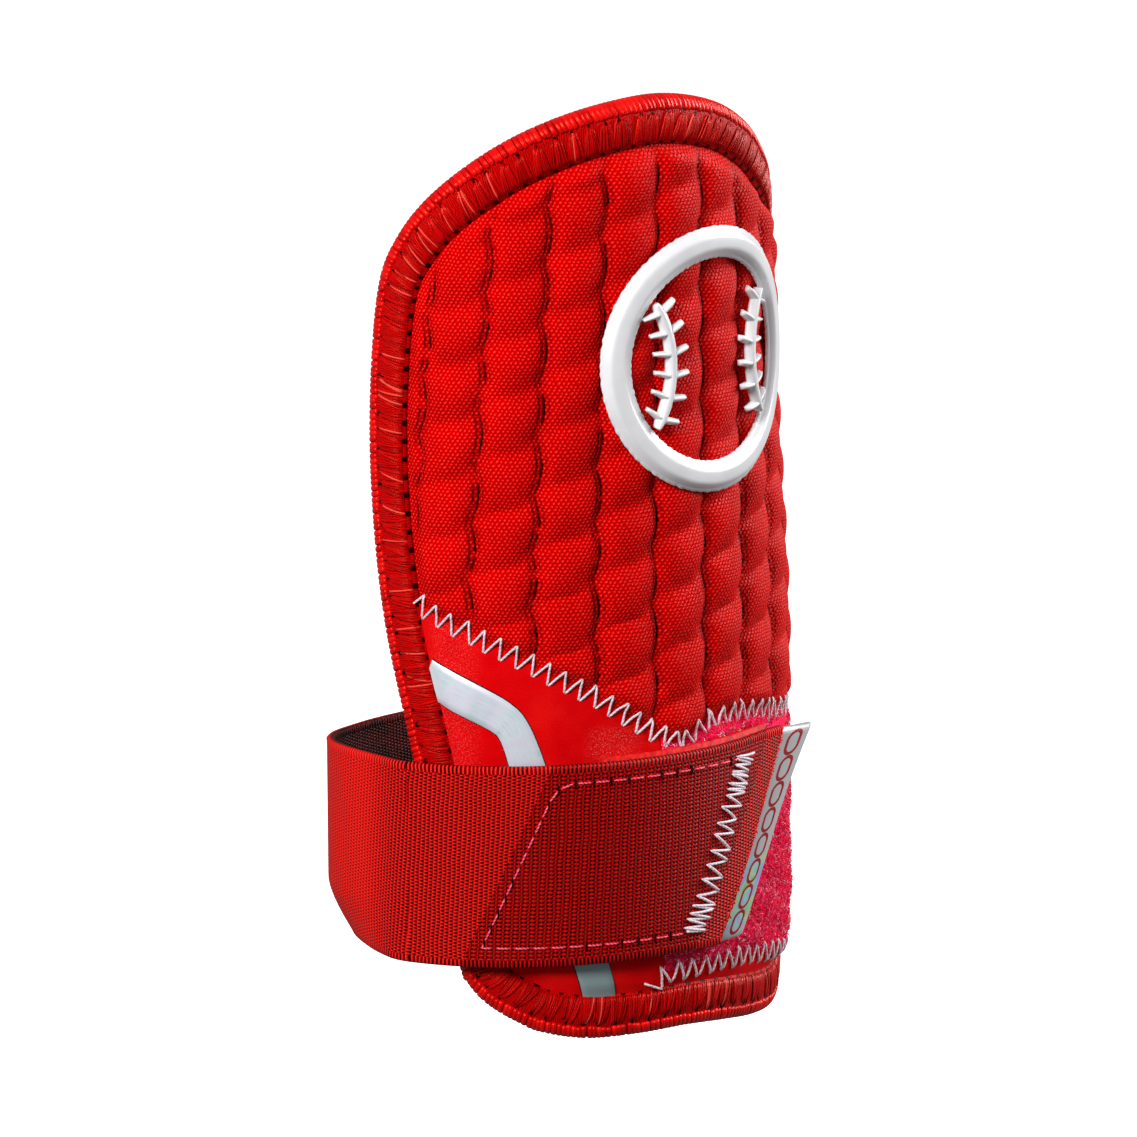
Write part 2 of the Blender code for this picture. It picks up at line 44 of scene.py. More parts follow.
BEND_RADIUS, BEND_TAPER = 0.0491, 0.020
BINDING_REACH, BINDING_GRIP = 0.0086, 0.0012
PAD_FACE, PAD_BACK, PAD_EDGE = -0.0015, -0.0070, 0.0027
PANEL_FACE, PILE_FACE = -0.0003, 0.0002
COLUMN_PITCH, COLUMN_START, CELL_LENGTH, GROOVE_SWING = 0.0118, -0.0013, 0.0106, 0.10
GROOVE_FACE, CREST_FACE, SHOULDER_WIDTH = -0.0007, 0.0012, 0.0034
STRAP_LIFT_FROM, PAD_SWELL, SWELL_RUN, SWELL_TOP = 0.0100, 0.0020, 0.0260, 0.0620
OUTLINE_SHARES = [
    (0.01, 1.000), (-0.20, 0.993), (-0.40, 0.974), (-0.58, 0.945), (-0.76, 0.902), (-0.88, 0.858),
    (-0.95, 0.811), (-0.987, 0.730), (-1.00, 0.632), (-0.983, 0.530), (-0.945, 0.443),
    (-0.876, 0.345), (-0.795, 0.222), (-0.714, 0.103), (-0.688, 0.084), (-0.650, 0.069),
    (-0.598, 0.056), (-0.532, 0.044), (-0.457, 0.033), (-0.31, 0.024), (-0.12, 0.023), (0.054, 0.0225),
    (0.237, 0.0156), (0.42, 0.006), (0.602, 0.000), (0.72, 0.008), (0.815, 0.036), (0.875, 0.085),
    (0.912, 0.165), (0.945, 0.270), (0.978, 0.420), (0.998, 0.570), (0.998, 0.680), (0.975, 0.765),
    (0.925, 0.828), (0.84, 0.872), (0.71, 0.905), (0.56, 0.934), (0.42, 0.962), (0.23, 0.988),
]
UPPER_SEAM_SHARES = [
    (-0.990, 0.519), (-0.839, 0.485), (-0.55, 0.438), (-0.268, 0.387), (-0.12, 0.354), (0.005, 0.331),
    (0.08, 0.337), (0.17, 0.347), (0.35, 0.345), (0.67, 0.326), (1.02, 0.314),
]


def flat_places(shares):
    """Places on the flat pattern from shares: half widths from the middle, heights from the foot."""
    table = np.array(shares, dtype=float)
    across = GUARD_MIDDLE + table[:, 0] * GUARD_WIDTH / 2
    return np.column_stack([across, -FOOT_DROP + table[:, 1] * GUARD_HEIGHT])


def travel(path):
    """Length along a path up to each of its places."""
    return np.concatenate([[0], np.cumsum(np.linalg.norm(np.diff(path, axis=0), axis=1))])


def smooth_curve(points, count, closed=False, beyond=None):
    """Catmull-Rom curve through the points, read at equal steps of its length.

    The two places beyond its ends, if given, set the directions there.
    """
    points = np.asarray(points, dtype=float)
    if closed:
        ring = np.vstack([points[-1:], points, points[:2]])
    elif beyond is not None:
        ring = np.vstack([beyond[:1], points, beyond[1:]])
    else:
        ring = np.vstack([2 * points[0] - points[1], points, 2 * points[-1] - points[-2]])
    t = np.linspace(0, 1, 32, endpoint=False)[None, :, None]
    a, b, c, d = (part[:, None] for part in (ring[:-3], ring[1:-2], ring[2:-1], ring[3:]))
    dense = 0.5 * (2 * b + (c - a) * t + (2 * a - 5 * b + 4 * c - d) * t ** 2
                   + (3 * b - a - 3 * c + d) * t ** 3)
    dense = np.vstack([dense.reshape(-1, points.shape[1]), ring[-2:-1]])
    length = travel(dense)
    stops = np.linspace(0, length[-1], count + 1 if closed else count)
    stops = stops[:-1] if closed else stops
    return np.column_stack([np.interp(stops, length, dense[:, k]) for k in range(dense.shape[1])])


def inward(loop):
    """Unit normals that point into a counter-clockwise loop, the mean of its two edges'."""
    edge = np.roll(loop, -1, axis=0) - loop
    normal = np.column_stack([-edge[:, 1], edge[:, 0]]) / np.linalg.norm(edge, axis=1)[:, None]
    mean = normal + np.roll(normal, 1, axis=0)
    return mean / np.linalg.norm(mean, axis=1)[:, None]


def distance(points, path):
    """Shortest distance from each place to a closed path."""
    along = np.roll(path, -1, axis=0) - path
    offset = points[..., None, :] - path
    share = np.clip((offset * along).sum(-1) / (along ** 2).sum(-1), 0, 1)
    return np.linalg.norm(offset - share[..., None] * along, axis=-1).min(axis=-1)


def ease(value, start, end):
    """Smooth step 3t^2 - 2t^3 from 0 at start to 1 at end."""
    t = np.clip((value - start) / (end - start), 0, 1)
    return t * t * (3 - 2 * t)


def bent(across, up, out):
    """The flat pattern bent round a cone: angle = across / r, with r = radius - taper * up."""
    radius = BEND_RADIUS - BEND_TAPER * up
    angle = across / radius
    reach = radius + out
    return np.stack([reach * np.sin(angle), -reach * np.cos(angle), up + 0 * reach], axis=-1)


def skinned(name, rings, closed=False, uv=None, layers=None):
    """Mesh over rings of places (tube, ring, place, xyz); a single tube may leave out the first axis.

    Neighbouring rings are joined by quads, and an open tube's ends close with one face each. Rings
    that wind the wrong way (mean of face normal times offset from the middle < 0) are turned over.
    """
    single = rings.ndim == 3
    rings = rings[None] if single else rings
    if uv is not None:
        uv = uv[None] if single else uv
    layers = {label: np.reshape(values, rings.shape[:3]) for label, values in (layers or {}).items()}
    normal = np.cross((np.roll(rings, -1, 2) - rings)[:, :-1], np.diff(rings, axis=1))
    if (normal * (rings - rings.mean(axis=(1, 2), keepdims=True))[:, :-1]).sum() < 0:
        rings = np.roll(rings[:, :, ::-1], 1, axis=2)
        uv = None if uv is None else uv[:, :, ::-1]
        layers = {label: np.roll(values[:, :, ::-1], 1, axis=2) for label, values in layers.items()}
    tubes, count, size = rings.shape[:3]
    index = np.arange(tubes * count * size).reshape(tubes, count, size)
    low = index if closed else index[:, :-1]
    high = np.roll(index, -1, axis=1) if closed else index[:, 1:]
    loops = np.stack([low, np.roll(low, -1, 2), np.roll(high, -1, 2), high], axis=-1).ravel()
    totals = np.full(len(loops) // 4, 4)
    if not closed:
        caps = np.stack([index[:, 0, ::-1], index[:, -1]], axis=1)
        loops = np.concatenate([loops, caps.ravel()])
        totals = np.concatenate([totals, np.full(2 * tubes, size)])
    starts = np.concatenate([[0], np.cumsum(totals)[:-1]])
    mesh = bpy.data.meshes.new(name)
    mesh.vertices.add(index.size)
    mesh.vertices.foreach_set("co", rings.ravel().astype(np.float32))
    mesh.loops.add(len(loops))
    mesh.loops.foreach_set("vertex_index", loops.astype(np.int32))
    mesh.polygons.add(len(starts))
    mesh.polygons.foreach_set("loop_start", starts.astype(np.int32))
    mesh.polygons.foreach_set("loop_total", totals.astype(np.int32))
    mesh.update(calc_edges=True)
    if uv is not None:
        corner = np.stack([uv[:, :-1, :-1], uv[:, :-1, 1:], uv[:, 1:, 1:], uv[:, 1:, :-1]],
                          axis=3).reshape(-1, 2)
        if not closed:
            ends = np.stack([uv[:, 0, :-1][:, ::-1], uv[:, -1, :-1]], axis=1).reshape(-1, 2)
            corner = np.concatenate([corner, ends])
        mesh.uv_layers.new(name="surface").data.foreach_set("uv", corner.ravel().astype(np.float32))
    for label, values in layers.items():
        layer = mesh.attributes.new(label, "FLOAT", "POINT")
        layer.data.foreach_set("value", np.ascontiguousarray(values, dtype=np.float32).ravel())
    mesh.shade_smooth()
    piece = bpy.data.objects.new(name, mesh)
    bpy.context.scene.collection.objects.link(piece)
    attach(piece, "root")
    return piece


def colour(code):
    """Linear colour from an sRGB hex code."""
    parts = [int(code[k:k + 2], 16) / 255 for k in (1, 3, 5)]
    return (*[c / 12.92 if c < 0.04045 else ((c + 0.055) / 1.055) ** 2.4 for c in parts], 1.0)


def add_node(tree, kind, *inputs, output=None, stops=(), **named):
    """Add a node of a kind with its settings and links; one of its output sockets.

    Inputs fill the sockets in use in their order. A named value is a property of the node, or else
    a socket by its name, with _ for a space. Hex codes become colours, and stops are the (position,
    hex code) pairs of a colour ramp.
    """
    node = tree.nodes.new("ShaderNode" + kind)
    links = {}
    for key, value in named.items():
        if hasattr(node, key):
            setattr(node, key, value)
        else:
            links[key.replace("_", " ")] = value
    if stops:
        elements = node.color_ramp.elements
        while len(elements) < len(stops):
            elements.new(0.5)
        for element, (position, code) in zip(elements, stops):
            element.position = position
            element.color = colour(code)
    in_use = [socket for socket in node.inputs if socket.enabled]
    pairs = list(zip(in_use, inputs)) + [(node.inputs[key], value) for key, value in links.items()]
    for socket, value in pairs:
        if isinstance(value, bpy.types.NodeSocket):
            tree.links.new(value, socket)
        else:
            socket.default_value = colour(value) if isinstance(value, str) else value
    return node.outputs[output] if output else next(s for s in node.outputs if s.enabled)


def new_material(name, **constants):
    """Principled material with constants on the shader's own sockets; hex codes become colours."""
    material = bpy.data.materials.new(name)
    material.use_nodes = True
    tree = material.node_tree
    shader = tree.nodes["Principled BSDF"]
    for key, value in constants.items():
        socket = shader.inputs[key.replace("_", " ")]
        socket.default_value = colour(value) if isinstance(value, str) else value
    return material, tree, shader


def surface_axes(tree):
    """The surface map in millimetres: its vector, and its first and second axis."""
    place = add_node(tree, "UVMap", uv_map="surface")
    first = add_node(tree, "SeparateXYZ", place)
    return place, first, first.node.outputs[1]


def finish(tree, shader, base, height, strength, depth):
    """Join a base colour and a bump of the given depth in millimetres to the shader."""
    bump = add_node(tree, "Bump", Strength=strength, Distance=depth * MM, Height=height)
    tree.links.new(base, shader.inputs["Base Color"])
    tree.links.new(bump, shader.inputs["Normal"])


GUARD_OUTLINE = smooth_curve(flat_places(OUTLINE_SHARES), count=720, closed=True)
COARSE_OUTLINE = GUARD_OUTLINE[::4]
UPPER_SEAM = smooth_curve(flat_places(UPPER_SEAM_SHARES), count=400)


def over_seam(flat):
    """Height of a place over the upper seam."""
    return flat[..., 1] - np.interp(flat[..., 0], UPPER_SEAM[:, 0], UPPER_SEAM[:, 1])


def swell(flat):
    """Fullness on the right of the foot, an ease across times an ease down from the top."""
    side = ease(flat[..., 0], STRAP_LIFT_FROM, STRAP_LIFT_FROM + SWELL_RUN)
    return PAD_SWELL * side * (1 - ease(flat[..., 1], 0.5 * SWELL_TOP, 1.5 * SWELL_TOP))


def edge_fade(flat):
    """0 under the binding, 1 where the pad has its full thickness."""
    edge = BINDING_REACH - 0.2 * MM
    return ease(distance(flat, COARSE_OUTLINE), edge, edge + SHOULDER_WIDTH)


def quilt(flat):
    """Level of the quilting.

    Groove k runs up at column k, swung aside by swing * |sin(pi * (up / cell - k / 2))|, so its
    cells bulge to the right. Cells meet in soft creases where up / cell - column / 2 is whole.
    """
    across, up = flat[..., 0], flat[..., 1]
    narrowing = 1 - 0.13 * np.clip((up / GUARD_HEIGHT - 0.28) / 0.42, 0, 1)
    column = (across - COLUMN_START) / (COLUMN_PITCH * narrowing)
    tall = up / CELL_LENGTH

    def groove(k):
        """Column where groove k runs, swung aside as it climbs."""
        return k + GROOVE_SWING * (np.abs(np.sin(np.pi * (tall - 0.5 * k))) - 0.6)

    step = np.floor(column)
    step = np.where(column < groove(step), step - 1, step)
    step = np.where(column >= groove(step + 1), step + 1, step)
    share = (column - groove(step)) / (groove(step + 1) - groove(step))
    crest = (1 - np.abs(2 * share - 1) ** 2.4) ** 0.8
    slope = share + 0.12 * np.sin(2 * np.pi * share)
    cell = np.abs(np.sin(np.pi * (tall - 0.5 * (step + slope)))) ** 0.8
    return GROOVE_FACE + (CREST_FACE - GROOVE_FACE) * crest * (0.42 + 0.58 * cell)


around, deep = 760, 100
rim = smooth_curve(flat_places(OUTLINE_SHARES), around, closed=True)
rim = rim + inward(rim) * BINDING_GRIP
middle = np.array([GUARD_MIDDLE, 0.46 * GUARD_HEIGHT - FOOT_DROP])
flat = middle + np.linspace(0.003, 1, deep)[:, None, None] * (rim - middle)
edge = edge_fade(flat)
above = over_seam(flat)
seat = PANEL_FACE - 0.25 * MM
base = np.where(above > 0, seat, PAD_FACE + (seat - PAD_FACE) * ease(above, -1.5 * MM, 0))
full = ease(above, 0, SHOULDER_WIDTH)
face = PAD_FACE + edge * (base + full * (quilt(flat) - base) - PAD_FACE) + edge * swell(flat)
behind = middle + np.linspace(1, 0.003, 24)[1:, None, None] * (rim - middle)
hollow = ease(distance(behind, COARSE_OUTLINE), BINDING_REACH, BINDING_REACH + 1.6 * SHOULDER_WIDTH)
back = PAD_FACE - PAD_EDGE - hollow * (PAD_FACE - PAD_EDGE - PAD_BACK)
rings = np.concatenate([bent(flat[..., 0], flat[..., 1], face), bent(behind[..., 0], behind[..., 1], back)])
places = np.concatenate([flat, behind]) / MM
places = np.concatenate([places, places[:, :1]], axis=1)
quilted = np.concatenate([full * edge, np.zeros(behind.shape[:2])])
lining = np.concatenate([np.zeros(flat.shape[:2]), np.ones(behind.shape[:2])])
pad = skinned("pad_quilt", rings, uv=places, layers={"quilted": quilted, "lining": lining})

# Warp-knitted polyester: brick rows of small slanted loops 0.86 mm apart across and 0.63 mm up,
# each with a painted highlight on its crown and painted shade in the gaps between. Along the
# quilting grooves painted shade lines go near black. The lining behind is a smooth dark red jersey.
WALE, COURSE = 0.86, 0.63
knit, tree, shader = new_material("polyester_rib_knit", Roughness=0.45, Specular_IOR_Level=0.12,
                                  Specular_Tint="#FF3018")
place, across_mm, up_mm = surface_axes(tree)
jitter = add_node(tree, "Math", add_node(tree, "TexNoise", place, 0.6), 1.2, -0.6,
                  operation="MULTIPLY_ADD")
course = add_node(tree, "Math", up_mm, 1 / COURSE, jitter, operation="MULTIPLY_ADD")
row = add_node(tree, "Math", course, operation="FLOOR")
wale = add_node(tree, "Math", row, 0.5,
                add_node(tree, "Math", across_mm, 1 / WALE, jitter, operation="MULTIPLY_ADD"),
                operation="MULTIPLY_ADD")
loop_x = add_node(tree, "Math", add_node(tree, "Math", wale, operation="FRACT"), WALE, -WALE / 2,
                  operation="MULTIPLY_ADD")
loop_y = add_node(tree, "Math", add_node(tree, "Math", course, operation="FRACT"), COURSE, -COURSE / 2,
                  operation="MULTIPLY_ADD")
along = add_node(tree, "Math", loop_x, 0.64, add_node(tree, "Math", loop_y, 0.77, operation="MULTIPLY"),
                 operation="MULTIPLY_ADD")
aside = add_node(tree, "Math", loop_y, 0.64, add_node(tree, "Math", loop_x, -0.77, operation="MULTIPLY"),
                 operation="MULTIPLY_ADD")
along = add_node(tree, "Math",
                 add_node(tree, "Math", add_node(tree, "Math", along, 0.42, operation="DIVIDE"),
                          operation="ABSOLUTE"), 2.0, operation="POWER")
aside = add_node(tree, "Math",
                 add_node(tree, "Math", add_node(tree, "Math", aside, 0.30, operation="DIVIDE"),
                          operation="ABSOLUTE"), 2.0, operation="POWER")
loops = add_node(tree, "Math", 1.0,
                 add_node(tree, "Math", add_node(tree, "Math", along, aside, operation="ADD"),
                          operation="SQRT"), operation="SUBTRACT")
# The loops' colour is darker in the gaps between loops (painted shade) and orange-red on each crown (a
# painted highlight).
yarn = add_node(tree, "ValToRGB", add_node(tree, "Math", loops, 0.0, operation="MAXIMUM"),
                stops=[(0.0, "#BE0002"), (0.30, "#DC0203"), (0.60, "#F20C08"), (0.95, "#FF5844")])
tones = add_node(tree, "ValToRGB", add_node(tree, "TexNoise", place, 0.12, 3.0),
                 stops=[(0.35, "#DCCFCF"), (0.65, "#FFFFFF")])
uneven = add_node(tree, "Mix", 0.6, yarn, tones, data_type="RGBA", blend_type="MULTIPLY")
narrow = add_node(tree, "MapRange", up_mm, 0.28 * GUARD_HEIGHT / MM, 0.70 * GUARD_HEIGHT / MM, 1.0, 0.87)
column = add_node(tree, "Math", across_mm, MM / COLUMN_PITCH, -COLUMN_START / COLUMN_PITCH,
                  operation="MULTIPLY_ADD")
column = add_node(tree, "Math", column, narrow, operation="DIVIDE")
nearest = add_node(tree, "Math", column, operation="ROUND")
phase = add_node(tree, "Math", nearest, -0.5,
                 add_node(tree, "Math", up_mm, MM / CELL_LENGTH, operation="MULTIPLY"),
                 operation="MULTIPLY_ADD")
swing = add_node(tree, "Math",
                 add_node(tree, "Math", add_node(tree, "Math", phase, math.pi, operation="MULTIPLY"),
                          operation="SINE"), operation="ABSOLUTE")
swung = add_node(tree, "Math", swing, -GROOVE_SWING, 0.6 * GROOVE_SWING, operation="MULTIPLY_ADD")
off_line = add_node(tree, "Math", add_node(tree, "Math", column, nearest, operation="SUBTRACT"), swung,
                    operation="ADD")
wander = add_node(tree, "Math", add_node(tree, "TexNoise", place, 1.8), 0.8, -0.4,
                  operation="MULTIPLY_ADD")
off_line = add_node(tree, "Math", off_line, COLUMN_PITCH / MM, wander, operation="MULTIPLY_ADD")
# Lines along each quilting groove, and fainter ones beside it, are painted shade that goes near black where
# the quilting sinks.
first_line = add_node(tree, "MapRange", add_node(tree, "Math", off_line, operation="ABSOLUTE"), 0.44,
                      0.12, interpolation_type="SMOOTHSTEP")
left_line = add_node(tree, "MapRange",
                     add_node(tree, "Math", add_node(tree, "Math", off_line, 0.95, operation="ADD"),
                              operation="ABSOLUTE"), 0.36, 0.08, 0.0, 0.75,
                     interpolation_type="SMOOTHSTEP")
right_line = add_node(tree, "MapRange",
                      add_node(tree, "Math", add_node(tree, "Math", off_line, 0.9, operation="SUBTRACT"),
                               operation="ABSOLUTE"), 0.30, 0.08, 0.0, 0.45,
                      interpolation_type="SMOOTHSTEP")
patchy = add_node(tree, "MapRange", add_node(tree, "TexNoise", place, 0.30), 0.34, 0.50,
                  interpolation_type="SMOOTHSTEP")
strong = add_node(tree, "Math", add_node(tree, "Math", swing, 0.40, 0.60, operation="MULTIPLY_ADD"),
                  patchy, operation="MULTIPLY")
groove_shade_lines = add_node(tree, "Math", first_line,
                 add_node(tree, "Math", left_line, right_line, operation="MAXIMUM"), operation="MAXIMUM")
groove_shade_lines = add_node(tree, "Math", groove_shade_lines, strong, operation="MULTIPLY")
groove_shade = add_node(tree, "Math", groove_shade_lines, add_node(tree, "Attribute", attribute_name="quilted", output="Fac"),
                operation="MULTIPLY")
# Painted shade: the knit goes near black along the groove lines.
knit_with_groove_shade = add_node(tree, "Mix", groove_shade, uneven, "#1A0001", data_type="RGBA")
lined = add_node(tree, "Mix", add_node(tree, "Attribute", attribute_name="lining", output="Fac"), knit_with_groove_shade,
                 "#8E0508", data_type="RGBA")
finish(tree, shader, lined, add_node(tree, "Math", groove_shade, -1.2, loops, operation="MULTIPLY_ADD"),
       strength=0.6, depth=0.20)
pad.data.materials.append(knit)
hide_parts("pad_shell")

# Edge binding
# The rim of the guard, oversewn all the way round with dense red thread: a base of thread on
# face, rim and back, thick turns over the rim, and fine strands that fan inwards from each hole.
profile = np.array([
    (8.8, -1.45), (8.5, -0.85), (7.6, -0.42), (6.4, -0.18), (4.6, -0.10), (3.2, -0.26), (2.2, -0.40),
    (1.1, -0.80), (0.40, -1.35), (0.10, -2.05), (0.05, -2.85), (0.15, -3.65), (0.55, -4.35),
    (1.3, -4.90), (2.8, -5.25), (4.6, -5.35), (6.6, -5.22), (8.2, -4.90), (8.7, -4.45),
    (4.5, -4.45), (0.95, -4.30), (0.95, -1.35), (4.5, -1.25),
]) * MM
along_rim = smooth_curve(flat_places(OUTLINE_SHARES), count=2400, closed=True)
closed_rim = np.vstack([along_rim, along_rim[:1]])
rim_travel = travel(closed_rim)
rim_length = rim_travel[-1]
closed_normal = inward(along_rim)
closed_normal = np.vstack([closed_normal, closed_normal[:1]])
draw = np.random.default_rng(21)


def on_rim(run, depth):
    """Flat places at a run along the rim and a depth in from it."""
    wrapped = np.mod(run, rim_length)
    place = [np.interp(wrapped, rim_travel, closed_rim[:, k]) for k in (0, 1)]
    normal = [np.interp(wrapped, rim_travel, closed_normal[:, k]) for k in (0, 1)]
    return np.stack(place, axis=-1) + np.stack(normal, axis=-1) * depth[..., None]


def threads(name, paths, radius, sides=6, flatten=1.0, beside=None, shade=None):
    """Round threads along paths (thread, place, xyz): circles set square to each path.

    A circle's axes are the direction across the thread, square to the way out from the guard's
    axis unless given, and the one square to that and to the path.
    """
    tangent = np.gradient(paths, axis=1)
    tangent /= np.linalg.norm(tangent, axis=-1)[..., None]
    beside = np.cross(tangent, paths * [1, 1, 0]) if beside is None else beside
    beside = beside - (beside * tangent).sum(-1)[..., None] * tangent
    beside = beside / np.linalg.norm(beside, axis=-1)[..., None]
    outward = np.cross(beside, tangent)
    angle = np.linspace(0, 2 * np.pi, sides, endpoint=False)[:, None]
    rings = paths[:, :, None] + radius * (np.cos(angle) * beside[:, :, None]
                                          + flatten * np.sin(angle) * outward[:, :, None])
    run = np.cumsum(np.linalg.norm(np.diff(paths, axis=1, prepend=paths[:, :1]), axis=-1), axis=1) / MM
    uv = np.stack(np.broadcast_arrays(run[..., None], np.linspace(0, 1, sides + 1)), axis=-1)
    layers = None
    if shade is not None:
        layers = {"shade": np.broadcast_to(np.reshape(shade, (-1, 1, 1)), rings.shape[:3])}
    return skinned(name, rings, uv=uv, layers=layers)


hole_count = int(rim_length / (3.5 * MM))
hole_at = (np.arange(hole_count) + draw.normal(0, 0.10, hole_count)) * rim_length / hole_count
hole_size = draw.uniform(0.5, 1.25, hole_count)
run = np.broadcast_to(rim_travel[:-1, None], (len(along_rim), len(profile)))
depth = np.broadcast_to(profile[:, 0], run.shape)
flat = on_rim(run, depth)
rings = bent(flat[..., 0], flat[..., 1], np.broadcast_to(profile[:, 1], run.shape))
over = np.append(travel(profile), travel(profile)[-1] + 3.5 * MM) / MM
uv = np.stack(np.broadcast_arrays(rim_travel[:, None] / MM, over), axis=-1)
gap = np.abs(rim_travel[:-1, None] - hole_at[None, :])
gap = np.minimum(gap, rim_length - gap)
beside = (gap.min(axis=1) / (0.42 * MM * hole_size[gap.argmin(axis=1)]))[:, None]
front = np.arange(len(profile)) < 9
# Near-black painted shade in the needle holes: a front row at 3.2 mm and, halfway between those holes, an
# inner row at 8.5 mm.
needle_hole_shade = np.exp(-beside ** 2 - ((depth - 3.2 * MM) / (0.55 * MM)) ** 2) * front
half_way = np.abs(np.mod(rim_travel[:-1, None] / rim_length * hole_count,
                         1) - 0.5) * rim_length / hole_count
inner_hole_shade = np.exp(-(half_way / (0.55 * MM)) ** 2 - ((depth - 8.5 * MM) / (0.45 * MM)) ** 2)
needle_hole_shade = np.maximum(needle_hole_shade, inner_hole_shade * front)
binding = skinned("binding_base", rings, closed=True, uv=uv, layers={"needle_hole_shade": needle_hole_shade})

# Rayon thread packed side by side 0.42 mm apart: dark satin red with painted shade between the threads and
# near-black painted shade in the needle holes.
packed, tree, shader = new_material("packed_rayon_thread", Roughness=0.45, Specular_IOR_Level=0.4,
                                    Specular_Tint="#FF3020")
place, run_mm, over_mm = surface_axes(tree)
drift = add_node(tree, "TexNoise", place, 0.6)
lay = add_node(tree, "Math", drift, 1.2,
               add_node(tree, "Math", over_mm, 0.15, run_mm, operation="MULTIPLY_ADD"),
               operation="MULTIPLY_ADD")
fine = add_node(tree, "Math",
                add_node(tree, "Math", add_node(tree, "Math", lay, math.pi / 0.42, operation="MULTIPLY"),
                         operation="SINE"), operation="ABSOLUTE")
# The thread colour is darkest where neighbouring threads meet: painted shade between the threads.
thread_tones_with_painted_shade = add_node(tree, "ValToRGB", fine, stops=[(0.0, "#5A0001"), (0.35, "#9C0203"), (1.0, "#C80505")])
# The thread goes near black at the needle holes: painted shade.
threads_with_hole_shade = add_node(tree, "Mix",
                 add_node(tree, "MapRange",
                          add_node(tree, "Attribute", attribute_name="needle_hole_shade", output="Fac"), 0.16, 0.42,
                          interpolation_type="SMOOTHSTEP"), thread_tones_with_painted_shade, "#0B0001", data_type="RGBA")
finish(tree, shader, threads_with_hole_shade, fine, strength=0.7, depth=0.10)
binding.data.materials.append(packed)
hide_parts("edge_binding")

TURN_PITCH, TURN_RADIUS = 1.02 * MM, 0.52 * MM
turn_path = smooth_curve(np.array([
    (2.55, -0.52), (1.9, -0.32), (1.1, -0.66), (0.42, -1.15), (0.06, -1.95), (-0.02, -2.85), (0.08, -3.75),
    (0.45, -4.45), (1.3, -5.05), (2.5, -5.32), (3.1, -5.20),
]) * MM, count=15)
turn_count = int(rim_length / TURN_PITCH)
start = (np.arange(turn_count) + draw.normal(0, 0.07, turn_count)) * rim_length / turn_count
slant = 0.34 + draw.normal(0, 0.05, turn_count)
depth = turn_path[None, :, 0] + draw.normal(0, 0.12 * MM, (turn_count, 1)) * (turn_path[:, 0] > 1.5 * MM)
run = start[:, None] + slant[:, None] * np.linspace(-2.5, 2.5, len(turn_path))[None, :] * MM
flat, ahead = on_rim(run, depth), on_rim(run + 0.2 * MM, depth)
level = np.broadcast_to(turn_path[:, 1], depth.shape)
paths = bent(flat[..., 0], flat[..., 1], level)
turns = threads("binding_turns", paths, TURN_RADIUS, sides=8, flatten=0.42,
                beside=bent(ahead[..., 0], ahead[..., 1], level) - paths,
                shade=draw.uniform(0.4, 0.9, turn_count))

STRAND_RADIUS, STRANDS = 0.19 * MM, 9
spread = (np.arange(STRANDS) - (STRANDS - 1) / 2)[None, :] * 0.41 * MM
spread = spread + draw.normal(0, 0.13 * MM, (hole_count, STRANDS))
root = (hole_at[:, None] + 0.45 * spread + draw.normal(0, 0.10 * MM, spread.shape)).reshape(-1, 1)
foot = (hole_at[:, None] + spread + 0.9 * MM).reshape(-1, 1)
share = np.linspace(0, 1, 7)[None, :]
depth = 3.35 * MM + draw.uniform(-0.5, 0.4, root.shape) * MM * (1 - share) + 4.7 * MM * share
surface = np.interp(depth, profile[:9, 0][::-1], profile[:9, 1][::-1])
level = surface + (0.10 + 0.10 * draw.uniform(0, 1, root.shape)) * MM * np.sin(np.pi * (0.1 + 0.8 * share))
flat = on_rim(root + (foot - root) * share ** 0.8, depth)
pale = np.where(draw.uniform(0, 1, len(root)) > 0.96, 0.97, draw.uniform(0, 0.55, len(root)))
strands = threads("binding_strands", bent(flat[..., 0], flat[..., 1], level), STRAND_RADIUS, sides=5,
                  shade=pale)

# Rayon sewing thread: each thick turn is a bundle with a bright satin crown; a few of the fine
# strands are paler where they cross on top.
rayon, tree, shader = new_material("rayon_sewing_thread", Roughness=0.30, Specular_IOR_Level=0.8,
                                   Specular_Tint="#FF6850")
place, run_mm, over_mm = surface_axes(tree)
twist = add_node(tree, "Math",
                 add_node(tree, "Math",
                          add_node(tree, "Math", run_mm, 1.6, over_mm, operation="MULTIPLY_ADD"),
                          2 * math.pi, operation="MULTIPLY"), operation="SINE")
fibre = add_node(tree, "Math", add_node(tree, "Math", over_mm, 2 * math.pi * 7, operation="MULTIPLY"),
                 operation="SINE")
reds = add_node(tree, "ValToRGB", add_node(tree, "Attribute", attribute_name="shade", output="Fac"),
                stops=[(0.0, "#9A0003"), (0.5, "#CC0406"), (0.9, "#EE0E0C"), (1.0, "#F4604E")])
finish(tree, shader, reds, add_node(tree, "Math", twist, 0.3, fibre, operation="MULTIPLY_ADD"),
       strength=0.4, depth=0.05)
for piece in (turns, strands):
    piece.data.materials.append(rayon)

